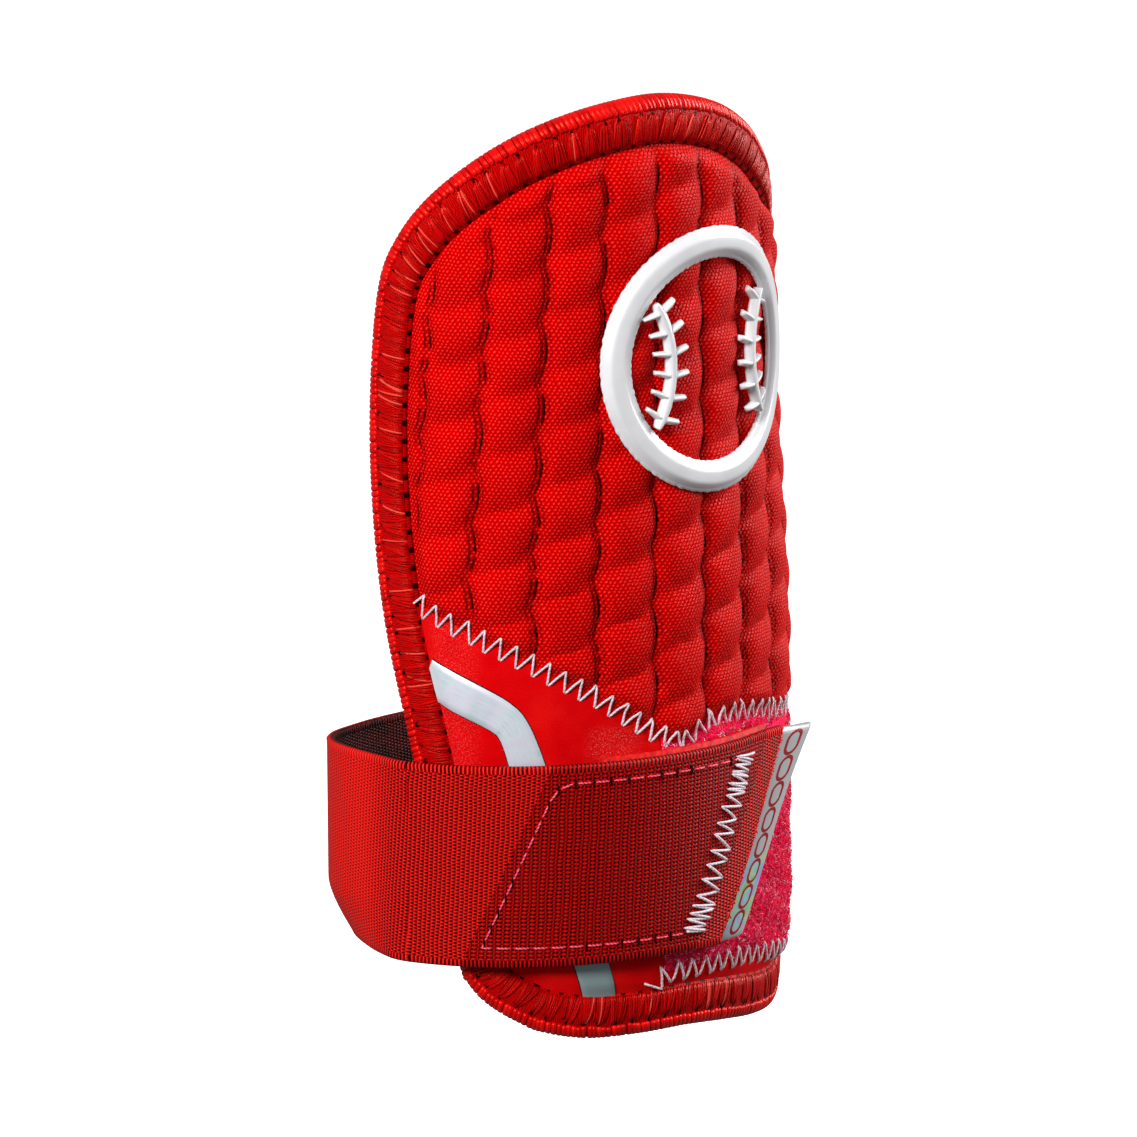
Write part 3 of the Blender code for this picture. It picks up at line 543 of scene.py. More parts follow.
# Smooth panels
# A suede-like cloth on the left of the foot and along it, and a pile panel on its right that the
# strap's hooks grip. Both are thin sheets laid on the pad and sewn down along their edges.
PANEL_SHEET, PILE_EDGE, TUCK = 0.0009, -0.0120, 0.0012
LOWER_SEAM_SHARES = [
    (-0.140, 0.0480), (-0.105, 0.0660), (-0.055, 0.0820), (0.02, 0.0860), (0.208, 0.0842),
    (0.352, 0.0792), (0.554, 0.0669), (0.755, 0.0557), (1.00, 0.0420),
]
LOWER_SEAM = smooth_curve(flat_places(LOWER_SEAM_SHARES), count=200)
field = GUARD_OUTLINE + inward(GUARD_OUTLINE) * (BINDING_REACH - TUCK)
foot_edge = field[(field[:, 1] < 0.30 * GUARD_HEIGHT) & (field[:, 0] < 0.036)]
foot_edge = foot_edge[np.argsort(foot_edge[:, 0])]


def panel_rings(across, low, high, rows, level, thickness):
    """Rings of a thin sheet: up its face from low to high at each place across, and down its back."""
    up = low[:, None] + (high - low)[:, None] * np.linspace(0, 1, rows)
    flat = np.stack([np.broadcast_to(across[:, None], up.shape), up], axis=-1)
    face = level(flat)
    front = bent(flat[..., 0], flat[..., 1], face)
    rear = bent(flat[..., 0], flat[..., 1], face - thickness)[:, ::-1]
    places = np.concatenate([flat, flat[:, ::-1], flat[:, :1]], axis=1) / MM
    return np.concatenate([front, rear], axis=1), places


def panel_level(flat):
    """Face of the smooth panel: a slight pillow, pressed down at its sewn edges."""
    pressed = ease(np.abs(over_seam(flat)), 0, 3.2 * MM)
    tucked = ease(distance(flat, COARSE_OUTLINE), BINDING_REACH - TUCK, BINDING_REACH + 2.6 * MM)
    pillow = 0.30 * MM * tucked * pressed - 0.75 * MM * (1 - tucked) - 0.12 * MM * (1 - pressed)
    return PANEL_FACE + pillow + edge_fade(flat) * swell(flat)


def seam_height(across, seam):
    """Height of a seam at places across."""
    return np.interp(across, seam[:, 0], seam[:, 1])


across = np.linspace(-0.0594, 0.0400, 320)
low = np.interp(across, foot_edge[:, 0], foot_edge[:, 1])
high = np.where(across < PILE_EDGE, seam_height(across, UPPER_SEAM), seam_height(across, LOWER_SEAM))
high = np.maximum(high, low + 0.2 * MM)
rings, places = panel_rings(across, low, high, rows=48, level=panel_level, thickness=PANEL_SHEET)
suede_panel = skinned("suede_panel", rings, uv=places)

# Brushed microfibre suede: a matt, even red with a soft nap, brushed in faint patches, and paler
# fibre tips where it is rubbed by the binding and over the strap.
suede, tree, shader = new_material("brushed_microfibre_suede", Roughness=0.85, Specular_IOR_Level=0.15,
                                   Specular_Tint="#FF2010", Sheen_Weight=0.04, Sheen_Tint="#FF5A4C")
place, across_mm, up_mm = surface_axes(tree)
nap = add_node(tree, "TexNoise", place, 4.0, 4.0, 0.7)
brushed = add_node(tree, "Math", add_node(tree, "TexNoise", place, 0.12), 0.5, operation="MULTIPLY")
toned = add_node(tree, "ValToRGB", add_node(tree, "Math", nap, 0.5, brushed, operation="MULTIPLY_ADD"),
                 stops=[(0.32, "#BC0003"), (0.50, "#DC040A"), (0.68, "#EC1612")])
left_rub = add_node(tree, "MapRange",
                    add_node(tree, "Math", add_node(tree, "Math", across_mm, 52.0, operation="ADD"),
                             operation="ABSOLUTE"), 6.5, 1.5, 0.0, 0.55, interpolation_type="SMOOTHSTEP")
mid_across = add_node(tree, "MapRange",
                      add_node(tree, "Math", add_node(tree, "Math", across_mm, 22.0, operation="ADD"),
                               operation="ABSOLUTE"), 7.0, 2.0, interpolation_type="SMOOTHSTEP")
mid_up = add_node(tree, "MapRange",
                  add_node(tree, "Math", add_node(tree, "Math", up_mm, 22.0, operation="SUBTRACT"),
                           operation="ABSOLUTE"), 4.5, 1.5, interpolation_type="SMOOTHSTEP")
rubbed = add_node(tree, "Math", left_rub,
                  add_node(tree, "Math", mid_across, mid_up, operation="MULTIPLY"), operation="MAXIMUM")
tips = add_node(tree, "MapRange", add_node(tree, "TexNoise", place, 3.0, 5.0, 0.85), 0.53, 0.62, 0.0, 0.8,
                interpolation_type="SMOOTHSTEP")
finish(tree, shader,
       add_node(tree, "Mix", add_node(tree, "Math", rubbed, tips, operation="MULTIPLY"), toned, "#FF7C78",
                data_type="RGBA"), nap, strength=0.4, depth=0.14)
suede_panel.data.materials.append(suede)
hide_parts("lower_panel")


def pile_level(flat):
    """Face of the pile panel, pressed along both seams and lumpy between them."""
    above_foot = flat[..., 1] - seam_height(flat[..., 0], LOWER_SEAM)
    pressed = ease(-over_seam(flat), 0, 3 * MM) * ease(above_foot, 0, 3 * MM)
    across, up = flat[..., 0], flat[..., 1]
    lumps = 0.28 * MM * np.sin(up / (1.9 * MM)) * np.sin(across / (2.3 * MM) + up / (5 * MM))
    thickness = PILE_FACE - PANEL_FACE + 0.1 * MM + lumps
    return PANEL_FACE - 0.1 * MM + pressed * thickness + edge_fade(flat) * swell(flat)


side_edge = field[(field[:, 0] > 0.030) & (field[:, 1] < 0.02) & (field[:, 1] > -0.02)]
across = np.linspace(PILE_EDGE, side_edge[:, 0].min(), 200)
low = seam_height(across, LOWER_SEAM) + 0.1 * MM
high = seam_height(across, UPPER_SEAM) - 0.1 * MM
rings, places = panel_rings(across, low, high, rows=90, level=pile_level, thickness=1.2 * MM)
pile_panel = skinned("pile_ground", rings, uv=places)

draw = np.random.default_rng(8)
tuft = np.column_stack([draw.uniform(PILE_EDGE, across[-1], 26000), draw.uniform(-0.031, 0.026, 26000)])
bare = (over_seam(tuft) < -0.5 * MM) & (tuft[:, 1] > seam_height(tuft[:, 0], LOWER_SEAM) + 0.5 * MM)
bare = bare & ((tuft[:, 0] > 0.0190 + 0.67 * tuft[:, 1]) | (np.abs(tuft[:, 1]) > 0.0190))
tuft = tuft[bare][:5200]
turn = draw.uniform(0, 2 * np.pi, len(tuft))[:, None]
arc = np.linspace(-0.15, 1.15, 6)[None, :] * np.pi
span = draw.uniform(0.22, 0.50, len(tuft))[:, None] * MM
tall = draw.uniform(0.18, 0.55, len(tuft))[:, None] * MM
sway = draw.normal(0, 0.35, (len(tuft), 1)) * MM
across = tuft[:, :1] + np.cos(turn) * span * np.cos(arc) - np.sin(turn) * sway * np.sin(arc)
up = tuft[:, 1:] + np.sin(turn) * span * np.cos(arc) + np.cos(turn) * sway * np.sin(arc)
paths = bent(across, up, pile_level(tuft)[:, None] + tall * np.sin(arc))
pile_loops = threads("pile_loops", paths, radius=0.055 * MM, sides=3, shade=draw.uniform(0, 1, len(tuft)))

# Brushed nylon loop pile: a deep red ground under a mat of fine translucent loops, red to pink
# and here and there almost white.
ground_pile, tree, shader = new_material("nylon_pile_ground", Roughness=0.7, Specular_IOR_Level=0.15,
                                         Specular_Tint="#FF5078")
place, across_mm, up_mm = surface_axes(tree)
matted = add_node(tree, "TexNoise", place, 2.2, 5.0, 0.75)
tipped = add_node(tree, "ValToRGB", matted,
                  stops=[(0.35, "#F00828"), (0.50, "#FF1450"), (0.62, "#FF3474"), (0.70, "#FFC0D4")])
finish(tree, shader, tipped, matted, strength=0.8, depth=0.3)
pile_panel.data.materials.append(ground_pile)
fibre_pile, tree, shader = new_material("brushed_nylon_loops", Roughness=0.40, Specular_IOR_Level=0.3,
                                        Specular_Tint="#FF6090", Sheen_Weight=0.6, Sheen_Tint="#FF3868")
hues = [(0.0, "#FF0830"), (0.58, "#FF1A60"), (0.86, "#FF4890"), (0.96, "#FFF0F6")]
tree.links.new(add_node(tree, "ValToRGB",
                        add_node(tree, "Attribute", attribute_name="shade", output="Fac"), stops=hues),
               shader.inputs["Base Color"])
pile_loops.data.materials.append(fibre_pile)
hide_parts("loop_panel")

# Silver stripe
# A strip of pearly silver film, heat sealed on the smooth panel, with one bend. It lies almost
# flush, and its cut edge shows as a fine dark line.
FOIL_WIDTH = 0.0067
FOIL_SHARES = [
    (-0.800, 0.408, 1.10), (-0.620, 0.380, 1.05), (-0.553, 0.367, 1.00), (-0.523, 0.355, 0.96),
    (-0.500, 0.336, 0.98), (-0.475, 0.308, 1.02), (-0.384, 0.206, 1.00), (-0.292, 0.1014, 1.00),
    (-0.262, 0.0610, 0.98),
]
table = np.array(FOIL_SHARES)
line = smooth_curve(np.column_stack([flat_places(table[:, :2]), table[:, 2]]), count=160)
tangent = np.gradient(line[:, :2], axis=0)
side = np.column_stack([-tangent[:, 1], tangent[:, 0]]) / np.linalg.norm(tangent, axis=1)[:, None]
shares = np.array([-1.0, -0.97, -0.6, -0.2, 0.2, 0.6, 0.97, 1.0, 0.9, -0.9])
lifts = np.array([0.02, 0.20, 0.24, 0.25, 0.25, 0.24, 0.20, 0.02, -0.1, -0.1]) * MM
flat = line[:, None, :2] + side[:, None, :] * (shares[None, :] * line[:, 2:] * FOIL_WIDTH / 2)[..., None]
rings = bent(flat[..., 0], flat[..., 1], panel_level(flat) + lifts)
uv = np.stack(np.broadcast_arrays(travel(line[:, :2])[:, None] / MM, np.append(shares, shares[0])), axis=-1)
foil = skinned("silver_stripe", rings, uv=uv)

# Heat-sealed pearl film: pale silver blue that drifts to lilac, brushed along its length, with
# a satin skin and a dark cut edge. Its lower end under the strap is a darker grey-green of painted shade
# and painted dark reflection.
film, tree, shader = new_material("pearl_heat_seal_film", Roughness=0.38, Metallic=0.3,
                                  Specular_IOR_Level=0.4)
place, run_mm, share_across = surface_axes(tree)
streaked = add_node(tree, "Mapping", place, Scale=(0.12, 9.0, 1.0))
brush_lines = add_node(tree, "TexNoise", streaked, 1.6, 3.0, 0.6)
drift = add_node(tree, "Math", add_node(tree, "TexNoise", place, 0.13), 0.65, operation="MULTIPLY")
pearl = add_node(tree, "ValToRGB",
                 add_node(tree, "Math", brush_lines, 0.35, drift, operation="MULTIPLY_ADD"),
                 stops=[(0.36, "#C0D4DE"), (0.46, "#E2ECF2"), (0.54, "#E4E0F0"), (0.64, "#C8DEE0")])
at_edge = add_node(tree, "Math", add_node(tree, "Math", share_across, operation="ABSOLUTE"), 0.945,
                   operation="GREATER_THAN")
# From 50 to 58 mm along, the film goes darker grey-green: painted shade and painted dark reflection under
# the strap.
pearl_with_painted_shade = add_node(tree, "Mix",
                  add_node(tree, "MapRange", run_mm, 50.0, 58.0, interpolation_type="SMOOTHSTEP"), pearl,
                  "#94A8AA", data_type="RGBA")
finish(tree, shader, add_node(tree, "Mix", at_edge, pearl_with_painted_shade, "#161016", data_type="RGBA"), brush_lines,
       strength=0.15, depth=0.08)
foil.data.materials.append(film)
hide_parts("foil_stripe")

# White zigzag seams
# Bonded polyester thread, machine sewn in a zigzag over the panels' raw edges: one seam under
# the quilting, one over the foot.
ZIGZAG_WIDTH, ZIGZAG_PITCH, SEAM_THREAD = 4.4 * MM, 3.3 * MM, 0.23 * MM


def between_knots(knots):
    """Places on straight legs between knots, ten a leg, and how far each leg bows there, 0 to 1."""
    leg = np.linspace(0, 1, 11)[:-1]
    flat = (knots[:-1, None] * (1 - leg)[None, :,
                                         None] + knots[1:, None] * leg[None, :, None]).reshape(-1, 2)
    return flat, np.tile(np.sin(np.pi * leg), len(knots) - 1)


def zigzag(seam, start, end, seed, level):
    """Thread path that swings from side to side of a seam and sinks at each needle hole."""
    length = travel(seam)
    draw = np.random.default_rng(seed)
    stops = np.arange(length[-1] * start, length[-1] * end, ZIGZAG_PITCH / 2)
    stops = stops + draw.normal(0, 0.035 * ZIGZAG_PITCH, len(stops))
    centre = np.column_stack([np.interp(stops, length, seam[:, k]) for k in (0, 1)])
    ahead = np.column_stack([np.interp(stops + 0.5 * MM, length, seam[:, k]) for k in (0, 1)]) - centre
    side = np.column_stack([-ahead[:, 1], ahead[:, 0]]) / np.linalg.norm(ahead, axis=1)[:, None]
    sign = np.where(np.arange(len(stops)) % 2 == 0, 1.0, -1.0)
    knots = centre + side * (sign * ZIGZAG_WIDTH / 2 * (1 + draw.normal(0, 0.05, len(stops))))[:, None]
    flat, bow = between_knots(knots)
    out = level(flat) + (-0.30 + 0.58 * np.minimum(1, bow * 1.8)) * MM
    return bent(flat[:, 0], flat[:, 1], out)[None]


def seam_level(flat):
    """Level of what lies under the upper seam: quilting above it, panels below."""
    raised = PANEL_FACE + ease(over_seam(flat), 0, SHOULDER_WIDTH) * (quilt(flat) - PANEL_FACE)
    return PAD_FACE + 0.6 * MM + edge_fade(flat) * (raised - PAD_FACE - 0.6 * MM + swell(flat))


def foot_level(flat):
    """Level of what lies under the lower seam, whichever panel is higher."""
    return np.maximum(panel_level(flat), pile_level(flat))


upper_thread = threads("upper_zigzag",
                       zigzag(UPPER_SEAM, start=0.070, end=0.93, seed=3, level=seam_level), SEAM_THREAD,
                       sides=7)
lower_thread = threads("lower_zigzag",
                       zigzag(LOWER_SEAM, start=0.070, end=0.868, seed=5, level=foot_level), SEAM_THREAD,
                       sides=7)

# Bonded polyester thread: slightly glossy lilac-white with a fine twist every 0.8 mm.
white_thread, tree, shader = new_material("bonded_polyester_thread", Roughness=0.5)
place, run_mm, round_share = surface_axes(tree)
ply = add_node(tree, "Math", run_mm, 1 / 0.8, round_share, operation="MULTIPLY_ADD")
twist = add_node(tree, "Math", add_node(tree, "Math", ply, 2 * math.pi, operation="MULTIPLY"),
                 operation="SINE")
strand = add_node(tree, "ValToRGB", add_node(tree, "Math", twist, 0.5, 0.5, operation="MULTIPLY_ADD"),
                  stops=[(0.0, "#D0BCC4"), (0.4, "#DECCD4"), (1.0, "#EEDEE6")])
finish(tree, shader, strand, twist, strength=0.3, depth=0.05)
for piece in (upper_thread, lower_thread):
    piece.data.materials.append(white_thread)

# Raised badge
# Moulded white rubber, welded on the quilting: a ball drawn as a ring with two laced seams. A
# thin flange runs round each part, and its face is bevelled up to a flat top.
BADGE_RADIUS, BADGE_BAND, BADGE_PLACE = 0.0240, 0.0046, (0.161, 0.727)
BADGE_BACK = CREST_FACE + 0.1 * MM
badge_middle = flat_places([BADGE_PLACE])[0]
band = np.array([(-0.60, -0.3), (-0.60, 0.22), (-0.05, 0.30), (0.10, 0.50), (0.85, 1.20), (1.15, 1.36),
                 (1.6, 1.42), (2.3, 1.40), (3.0, 1.42), (3.45, 1.36), (3.75, 1.20), (4.5, 0.50),
                 (4.65, 0.30), (5.20, 0.22), (5.20, -0.3)]) * MM
turn = np.linspace(0, 2 * np.pi, 420, endpoint=False)[:, None]
rough = 0.07 * MM * np.sin(turn * 61) * np.sin(turn * 9) + 0.05 * MM * np.sin(turn * 97 + 1)
radius = BADGE_RADIUS - band[None, :, 0] + rough * np.array([1, 1] + [0] * 11 + [-1, -1])
across = badge_middle[0] + radius * np.cos(turn)
up = badge_middle[1] + radius * np.sin(turn)
badge_ring = skinned("badge_circle", bent(across, up, BADGE_BACK + band[None, :, 1]), closed=True)

LACE_BAND, LACE_COUNT = 0.0024, 6
seam_radius, seam_centre = 0.90 * BADGE_RADIUS, 1.34 * BADGE_RADIUS
half = np.array([(-1.0, -0.3), (-1.0, 0.26), (-0.70, 0.62), (-0.40, 1.22), (0.0, 1.34), (0.40, 1.22),
                 (0.70, 0.62), (1.0, 0.26), (1.0, -0.3)])
badge_parts = [badge_ring]
reach = BADGE_RADIUS - BADGE_BAND - 1.4 * MM
limit = math.acos((seam_radius ** 2 + seam_centre ** 2 - reach ** 2) / (2 * seam_radius * seam_centre))
for label, mirror in (("left", -1), ("right", 1)):
    angle = np.linspace(-limit, limit, 90)[:, None]
    taper = np.sqrt(np.clip(1 - (angle / (limit * 1.02)) ** 8, 0, 1))
    radius = seam_radius + half[None, :, 0] * taper * LACE_BAND / 2
    across = badge_middle[0] + mirror * (seam_centre - radius * np.cos(angle))
    rings = bent(across, badge_middle[1] + radius * np.sin(angle), BADGE_BACK + half[None, :, 1] * MM)
    arc = skinned("badge_seam_arc_" + label, rings)
    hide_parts("badge_seam_" + label)
    for outward, place_name in ((-1, "inner"), (1, "outer")):
        middle_angle = limit * (2 * (np.arange(LACE_COUNT) + 0.5) / LACE_COUNT - 1)[:, None, None]
        run = np.linspace(0.0, 1.0, 9)[None, :, None]
        radius = seam_radius + outward * (0.4 + 3.2 * run) * MM + 0 * middle_angle
        swing = middle_angle + run * 0.030 + half[:, 0] * 0.68 * MM / seam_radius * (1 - 0.35 * run ** 2)
        across = badge_middle[0] + mirror * (seam_centre - radius * np.cos(swing))
        crown = np.where(half[:, 1] > 0, 0.90 - 0.35 * run ** 4, 1.0)
        teeth = bent(across, badge_middle[1] + radius * np.sin(swing), BADGE_BACK + half[:, 1] * crown * MM)
        badge_parts.append(skinned("badge_lace_%s_%s" % (label, place_name), teeth))
    badge_parts.append(arc)

# Moulded TPU rubber: clean white with a soft satin skin and a faint grain.
white_rubber, tree, shader = new_material("moulded_white_tpu", Roughness=0.30)
place = add_node(tree, "TexCoord", output="Object")
whites = add_node(tree, "ValToRGB", add_node(tree, "TexNoise", place, 120.0),
                  stops=[(0.3, "#DCDCE0"), (0.7, "#EAEAEC")])
finish(tree, shader, whites, add_node(tree, "TexNoise", place, 2200.0), strength=0.10, depth=0.05)
for piece in badge_parts:
    piece.data.materials.append(white_rubber)
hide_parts("badge_ring")

# Elastic strap
# Woven elastic 38 mm wide: it lies over the face, loops round the palm side and is sewn inside
# the right edge. Its end is cut on a slant over the tab. Both long edges are corded selvedges.
STRAP_WIDTH, STRAP_BACK, STRAP_FACE = 0.0380, 0.0017, 0.0034
STRAP_RISE, STRAP_DIP, STRAP_SLANT, STRAP_END = 0.0006, 0.0012, 0.56, 0.0088
SLANT_FADE, STRAP_LEAVES, STRAP_SEWN_AT, SEWN_LENGTH = 0.0400, -0.0600, 0.0470, 0.0130
LOOP_WIDTH, LOOP_DEPTH, LOOP_LEAN = 0.0885, 0.0675, 0.0050
LOOP_SHARES = [
    (-0.552, -0.155), (-0.540, 0.000), (-0.508, 0.105), (-0.438, 0.190), (-0.317, 0.232),
    (-0.170, 0.238), (0.000, 0.232), (0.170, 0.216), (0.310, 0.176), (0.405, 0.098), (0.452, 0.000),
    (0.452, -0.110),
]


def lift(across):
    """The strap's end leaves the bend on a straight line: (across - start)^2 / 2r."""
    return np.maximum(across - STRAP_LIFT_FROM, 0) ** 2 / (2 * BEND_RADIUS)


def rise(across):
    """Height of the strap's middle: it climbs along the face and sinks again to its end."""
    face = ease(across, STRAP_LEAVES, 0.10 * STRAP_LEAVES)
    return STRAP_RISE * (face - 2.8 * ease(across, 0.0, 0.60 * BEND_RADIUS))


def slanted(across, up):
    """Shift along the strap that cuts its end on a slant and fades along it."""
    return across + STRAP_SLANT * up * ease(across, STRAP_END - SLANT_FADE, STRAP_END)


half_width = STRAP_WIDTH / 2
rows = np.concatenate([[-18.6], np.linspace(-17.6, 17.6, 33), [18.6]]) * MM
thick = (STRAP_FACE - STRAP_BACK) / 2
corded = 0.06 * MM * np.cos(np.clip((half_width - np.abs(rows)) / (1.3 * MM), 0, 1) * 2 * np.pi)
up = np.concatenate([[-half_width], rows, [half_width], [half_width], rows[::-1], [-half_width]])
out = np.concatenate([[0.45 * thick], thick - 0.1 * MM - corded, [0.45 * thick],
                      [-0.45 * thick], -thick + 0.05 * MM + corded[::-1], [-0.45 * thick]])
inner_side = np.concatenate([[0.0], 0 * rows, [0.0], [1.0], 1 + 0 * rows, [1.0]])
mid_level = (STRAP_BACK + STRAP_FACE) / 2
face_places = np.linspace(STRAP_END, STRAP_LEAVES, 150)
place = slanted(face_places[:, None], up[None, :])
ragged = 0.16 * MM * np.sin(up / (0.33 * MM)) * np.sin(up / (1.1 * MM) + 1)
place = place + ragged * ease(face_places, STRAP_END - 2 * MM, STRAP_END)[:, None]
front_rings = bent(place, up + rise(face_places)[:, None], mid_level + lift(place) + out)
sewn_level = PAD_BACK - 0.45 * MM - thick
levels = np.array([mid_level, sewn_level])
ends = bent(np.array([STRAP_LEAVES, STRAP_SEWN_AT]), np.zeros(2), levels)
beyond = bent(np.array([0.8 * STRAP_LEAVES, 0.8 * STRAP_SEWN_AT]), np.zeros(2), levels)
free = np.array(LOOP_SHARES) * [LOOP_WIDTH, LOOP_DEPTH]
plan = smooth_curve(np.vstack([ends[:1, :2], free, ends[1:, :2]]), count=330, beyond=beyond[:, :2])
tangent = np.gradient(plan, axis=0)
side = np.column_stack([-tangent[:, 1], tangent[:, 0]]) / np.linalg.norm(tangent, axis=1)[:, None]
share = np.linspace(0, 1, len(plan))
cone = 1 - ease(share, 0.0, 0.15) + ease(share, 0.85, 1.0)
lean = LOOP_LEAN * ease(share, 0.02, 0.20) * (1 - ease(share, 0.35, 0.6))
dip = STRAP_DIP * ease(share, 0.10, 0.30) * (1 - ease(share, 0.75, 1.0))
shift = (out[None, :] - BEND_TAPER * up[None, :] * cone[:, None]
         - lean[:, None] * np.clip(-1.8 * up / half_width - 0.8, 0, 1)[None, :] ** 1.5)
loop_flat = plan[:, None, :] + shift[..., None] * side[:, None, :]
loop_rings = np.concatenate([loop_flat, (up[None, :] - dip[:, None])[..., None]], axis=-1)
sewn_places = np.linspace(STRAP_SEWN_AT, STRAP_SEWN_AT - SEWN_LENGTH, 20)
sewn_rings = bent(*np.broadcast_arrays(sewn_places[:, None], up, sewn_level + out))
rings = np.concatenate([front_rings, loop_rings[1:-1], sewn_rings])
front_run = (STRAP_END - place) / MM
loop_run = front_run[-1, 0] + travel(plan) / MM
sewn_run = loop_run[-1] + (STRAP_SEWN_AT - sewn_places) / MM
u = np.concatenate([front_run, np.broadcast_to(loop_run[1:-1, None], (len(plan) - 2, len(up))),
                    np.broadcast_to(sewn_run[:, None], (20, len(up)))])
u = np.concatenate([u, u[:, :1]], axis=1)
v = np.broadcast_to(np.append(up, up[0]) / MM, u.shape)
strap = skinned("elastic_strap", rings, uv=np.stack([u, v], axis=-1),
                layers={"inner": np.broadcast_to(inner_side, rings.shape[:2])})

# Woven elastic: red polyester covers black rubber cores. Right of the slanted stitching it is a
# close grid 0.72 by 0.74 mm; left of it the ribs are 0.83 mm apart and open on black gaps; the
# free part closes again. The selvedges are wound cords, and the inner face is nearly black.
elastic, tree, shader = new_material("woven_polyester_elastic", Roughness=0.48, Specular_IOR_Level=0.4,
                                     Specular_Tint="#FF5A44")
place, run_mm, row_mm = surface_axes(tree)
wander = add_node(tree, "TexNoise", place, 0.25, 1.0)
wobble = add_node(tree, "Math", wander, 0.5, run_mm, operation="MULTIPLY_ADD")
leaning = add_node(tree, "Math", row_mm, 0.06, wobble, operation="MULTIPLY_ADD")


def wave(tree, phase):
    """|sin(pi * phase)|."""
    return add_node(tree, "Math",
                    add_node(tree, "Math", add_node(tree, "Math", phase, math.pi, operation="MULTIPLY"),
                             operation="SINE"), operation="ABSOLUTE")


def woven(tree, run, row, rib, bead, sharp, stagger):
    """Height of a weave: 1 - (1 - ribs ^ sharp) * (1 - bridges ^ 0.6 sharp), times its beads.

    Ribs run across the strap, and threads bridge from rib to rib once a bead. The stagger is the
    shift of the holes from one gap to the next, in beads.
    """
    pick = add_node(tree, "Math", run, 1 / rib, operation="MULTIPLY")
    ribs = add_node(tree, "Math", wave(tree, pick), sharp, operation="POWER")
    level = add_node(tree, "Math", row, 1 / bead, operation="MULTIPLY")
    gap = add_node(tree, "Math", add_node(tree, "Math", pick, 0.5, operation="ADD"), operation="FLOOR")
    bridges = wave(tree, add_node(tree, "Math", gap, stagger, level, operation="MULTIPLY_ADD"))
    bridges = add_node(tree, "Math", bridges, 0.6 * sharp, operation="POWER")
    # Each bead's rounding also lightens its crown and darkens its ends in the colour: painted highlight and
    # painted shade.
    beads = wave(tree,
                 add_node(tree, "Math", add_node(tree, "Math", pick, operation="FLOOR"), 0.5, level,
                          operation="MULTIPLY_ADD"))
    holes = add_node(tree, "Math", add_node(tree, "Math", 1.0, ribs, operation="SUBTRACT"),
                     add_node(tree, "Math", 1.0, bridges, operation="SUBTRACT"), operation="MULTIPLY")
    return add_node(tree, "Math", add_node(tree, "Math", 1.0, holes, operation="SUBTRACT"),
                    add_node(tree, "Math", beads, 0.32, 0.68, operation="MULTIPLY_ADD"),
                    operation="MULTIPLY")


close_grid = woven(tree, leaning, row_mm, rib=0.72, bead=0.74, sharp=2.3, stagger=0.0)
open_ribs = woven(tree, leaning, row_mm, rib=0.83, bead=0.63, sharp=3.2, stagger=0.5)
STITCHING_SLOPE, STITCHING_AT, OPEN_BY_CUT = 0.445, 51.3, 5.8
FREE_FROM, FREE_FULL = 68.0, 82.0
SELVEDGE_FROM, SELVEDGE_FULL = 17.45, 17.7
slant_line = add_node(tree, "Math", row_mm, STITCHING_SLOPE, run_mm, operation="MULTIPLY_ADD")
left_of_line = add_node(tree, "Math", slant_line, STITCHING_AT, operation="GREATER_THAN")
from_cut = add_node(tree, "Math", row_mm, STRAP_SLANT, run_mm, operation="MULTIPLY_ADD")
opened = add_node(tree, "Math", left_of_line,
                  add_node(tree, "Math", from_cut, OPEN_BY_CUT, operation="LESS_THAN"),
                  operation="MAXIMUM")
weave = add_node(tree, "Mix", opened, close_grid, open_ribs, data_type="FLOAT")
free_part = add_node(tree, "MapRange", run_mm, FREE_FROM, FREE_FULL, interpolation_type="SMOOTHSTEP")
selvedge = add_node(tree, "MapRange", add_node(tree, "Math", row_mm, operation="ABSOLUTE"), SELVEDGE_FROM,
                    SELVEDGE_FULL, interpolation_type="SMOOTHSTEP")
cord = wave(tree, add_node(tree, "Math", wobble, 1 / 0.72, operation="MULTIPLY"))
height = add_node(tree, "Mix", selvedge, weave, cord, data_type="FLOAT")
closed = add_node(tree, "Math", free_part, -0.65, 1.0, operation="MULTIPLY_ADD")
shade = add_node(tree, "Math", add_node(tree, "Math", height, 1.0, operation="SUBTRACT"), closed, 1.0,
                 operation="MULTIPLY_ADD")
shade = add_node(tree, "Math", shade,
                 add_node(tree, "Math", opened, 0.16, -0.16, operation="MULTIPLY_ADD"), operation="ADD")
# The colour runs from black in the gaps, where the rubber cores show, to a painted orange-red highlight on
# the highest threads.
red = add_node(tree, "ValToRGB", shade,
               stops=[(0.34, "#040001"), (0.49, "#480002"), (0.65, "#A80305"), (0.85, "#DA0A0A"),
                      (1.0, "#F8281E")])
dashes = add_node(tree, "Math", add_node(tree, "Math", close_grid, 0.86, operation="GREATER_THAN"),
                  add_node(tree, "Math", wander, 0.47, operation="GREATER_THAN"), operation="MULTIPLY")
inside = add_node(tree, "Mix", dashes, "#060001", "#6C0204", data_type="RGBA")
finish(tree, shader,
       add_node(tree, "Mix", add_node(tree, "Attribute", attribute_name="inner", output="Fac"), red,
                inside, data_type="RGBA"), height, strength=0.9, depth=0.22)
strap.data.materials.append(elastic)
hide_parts("strap")

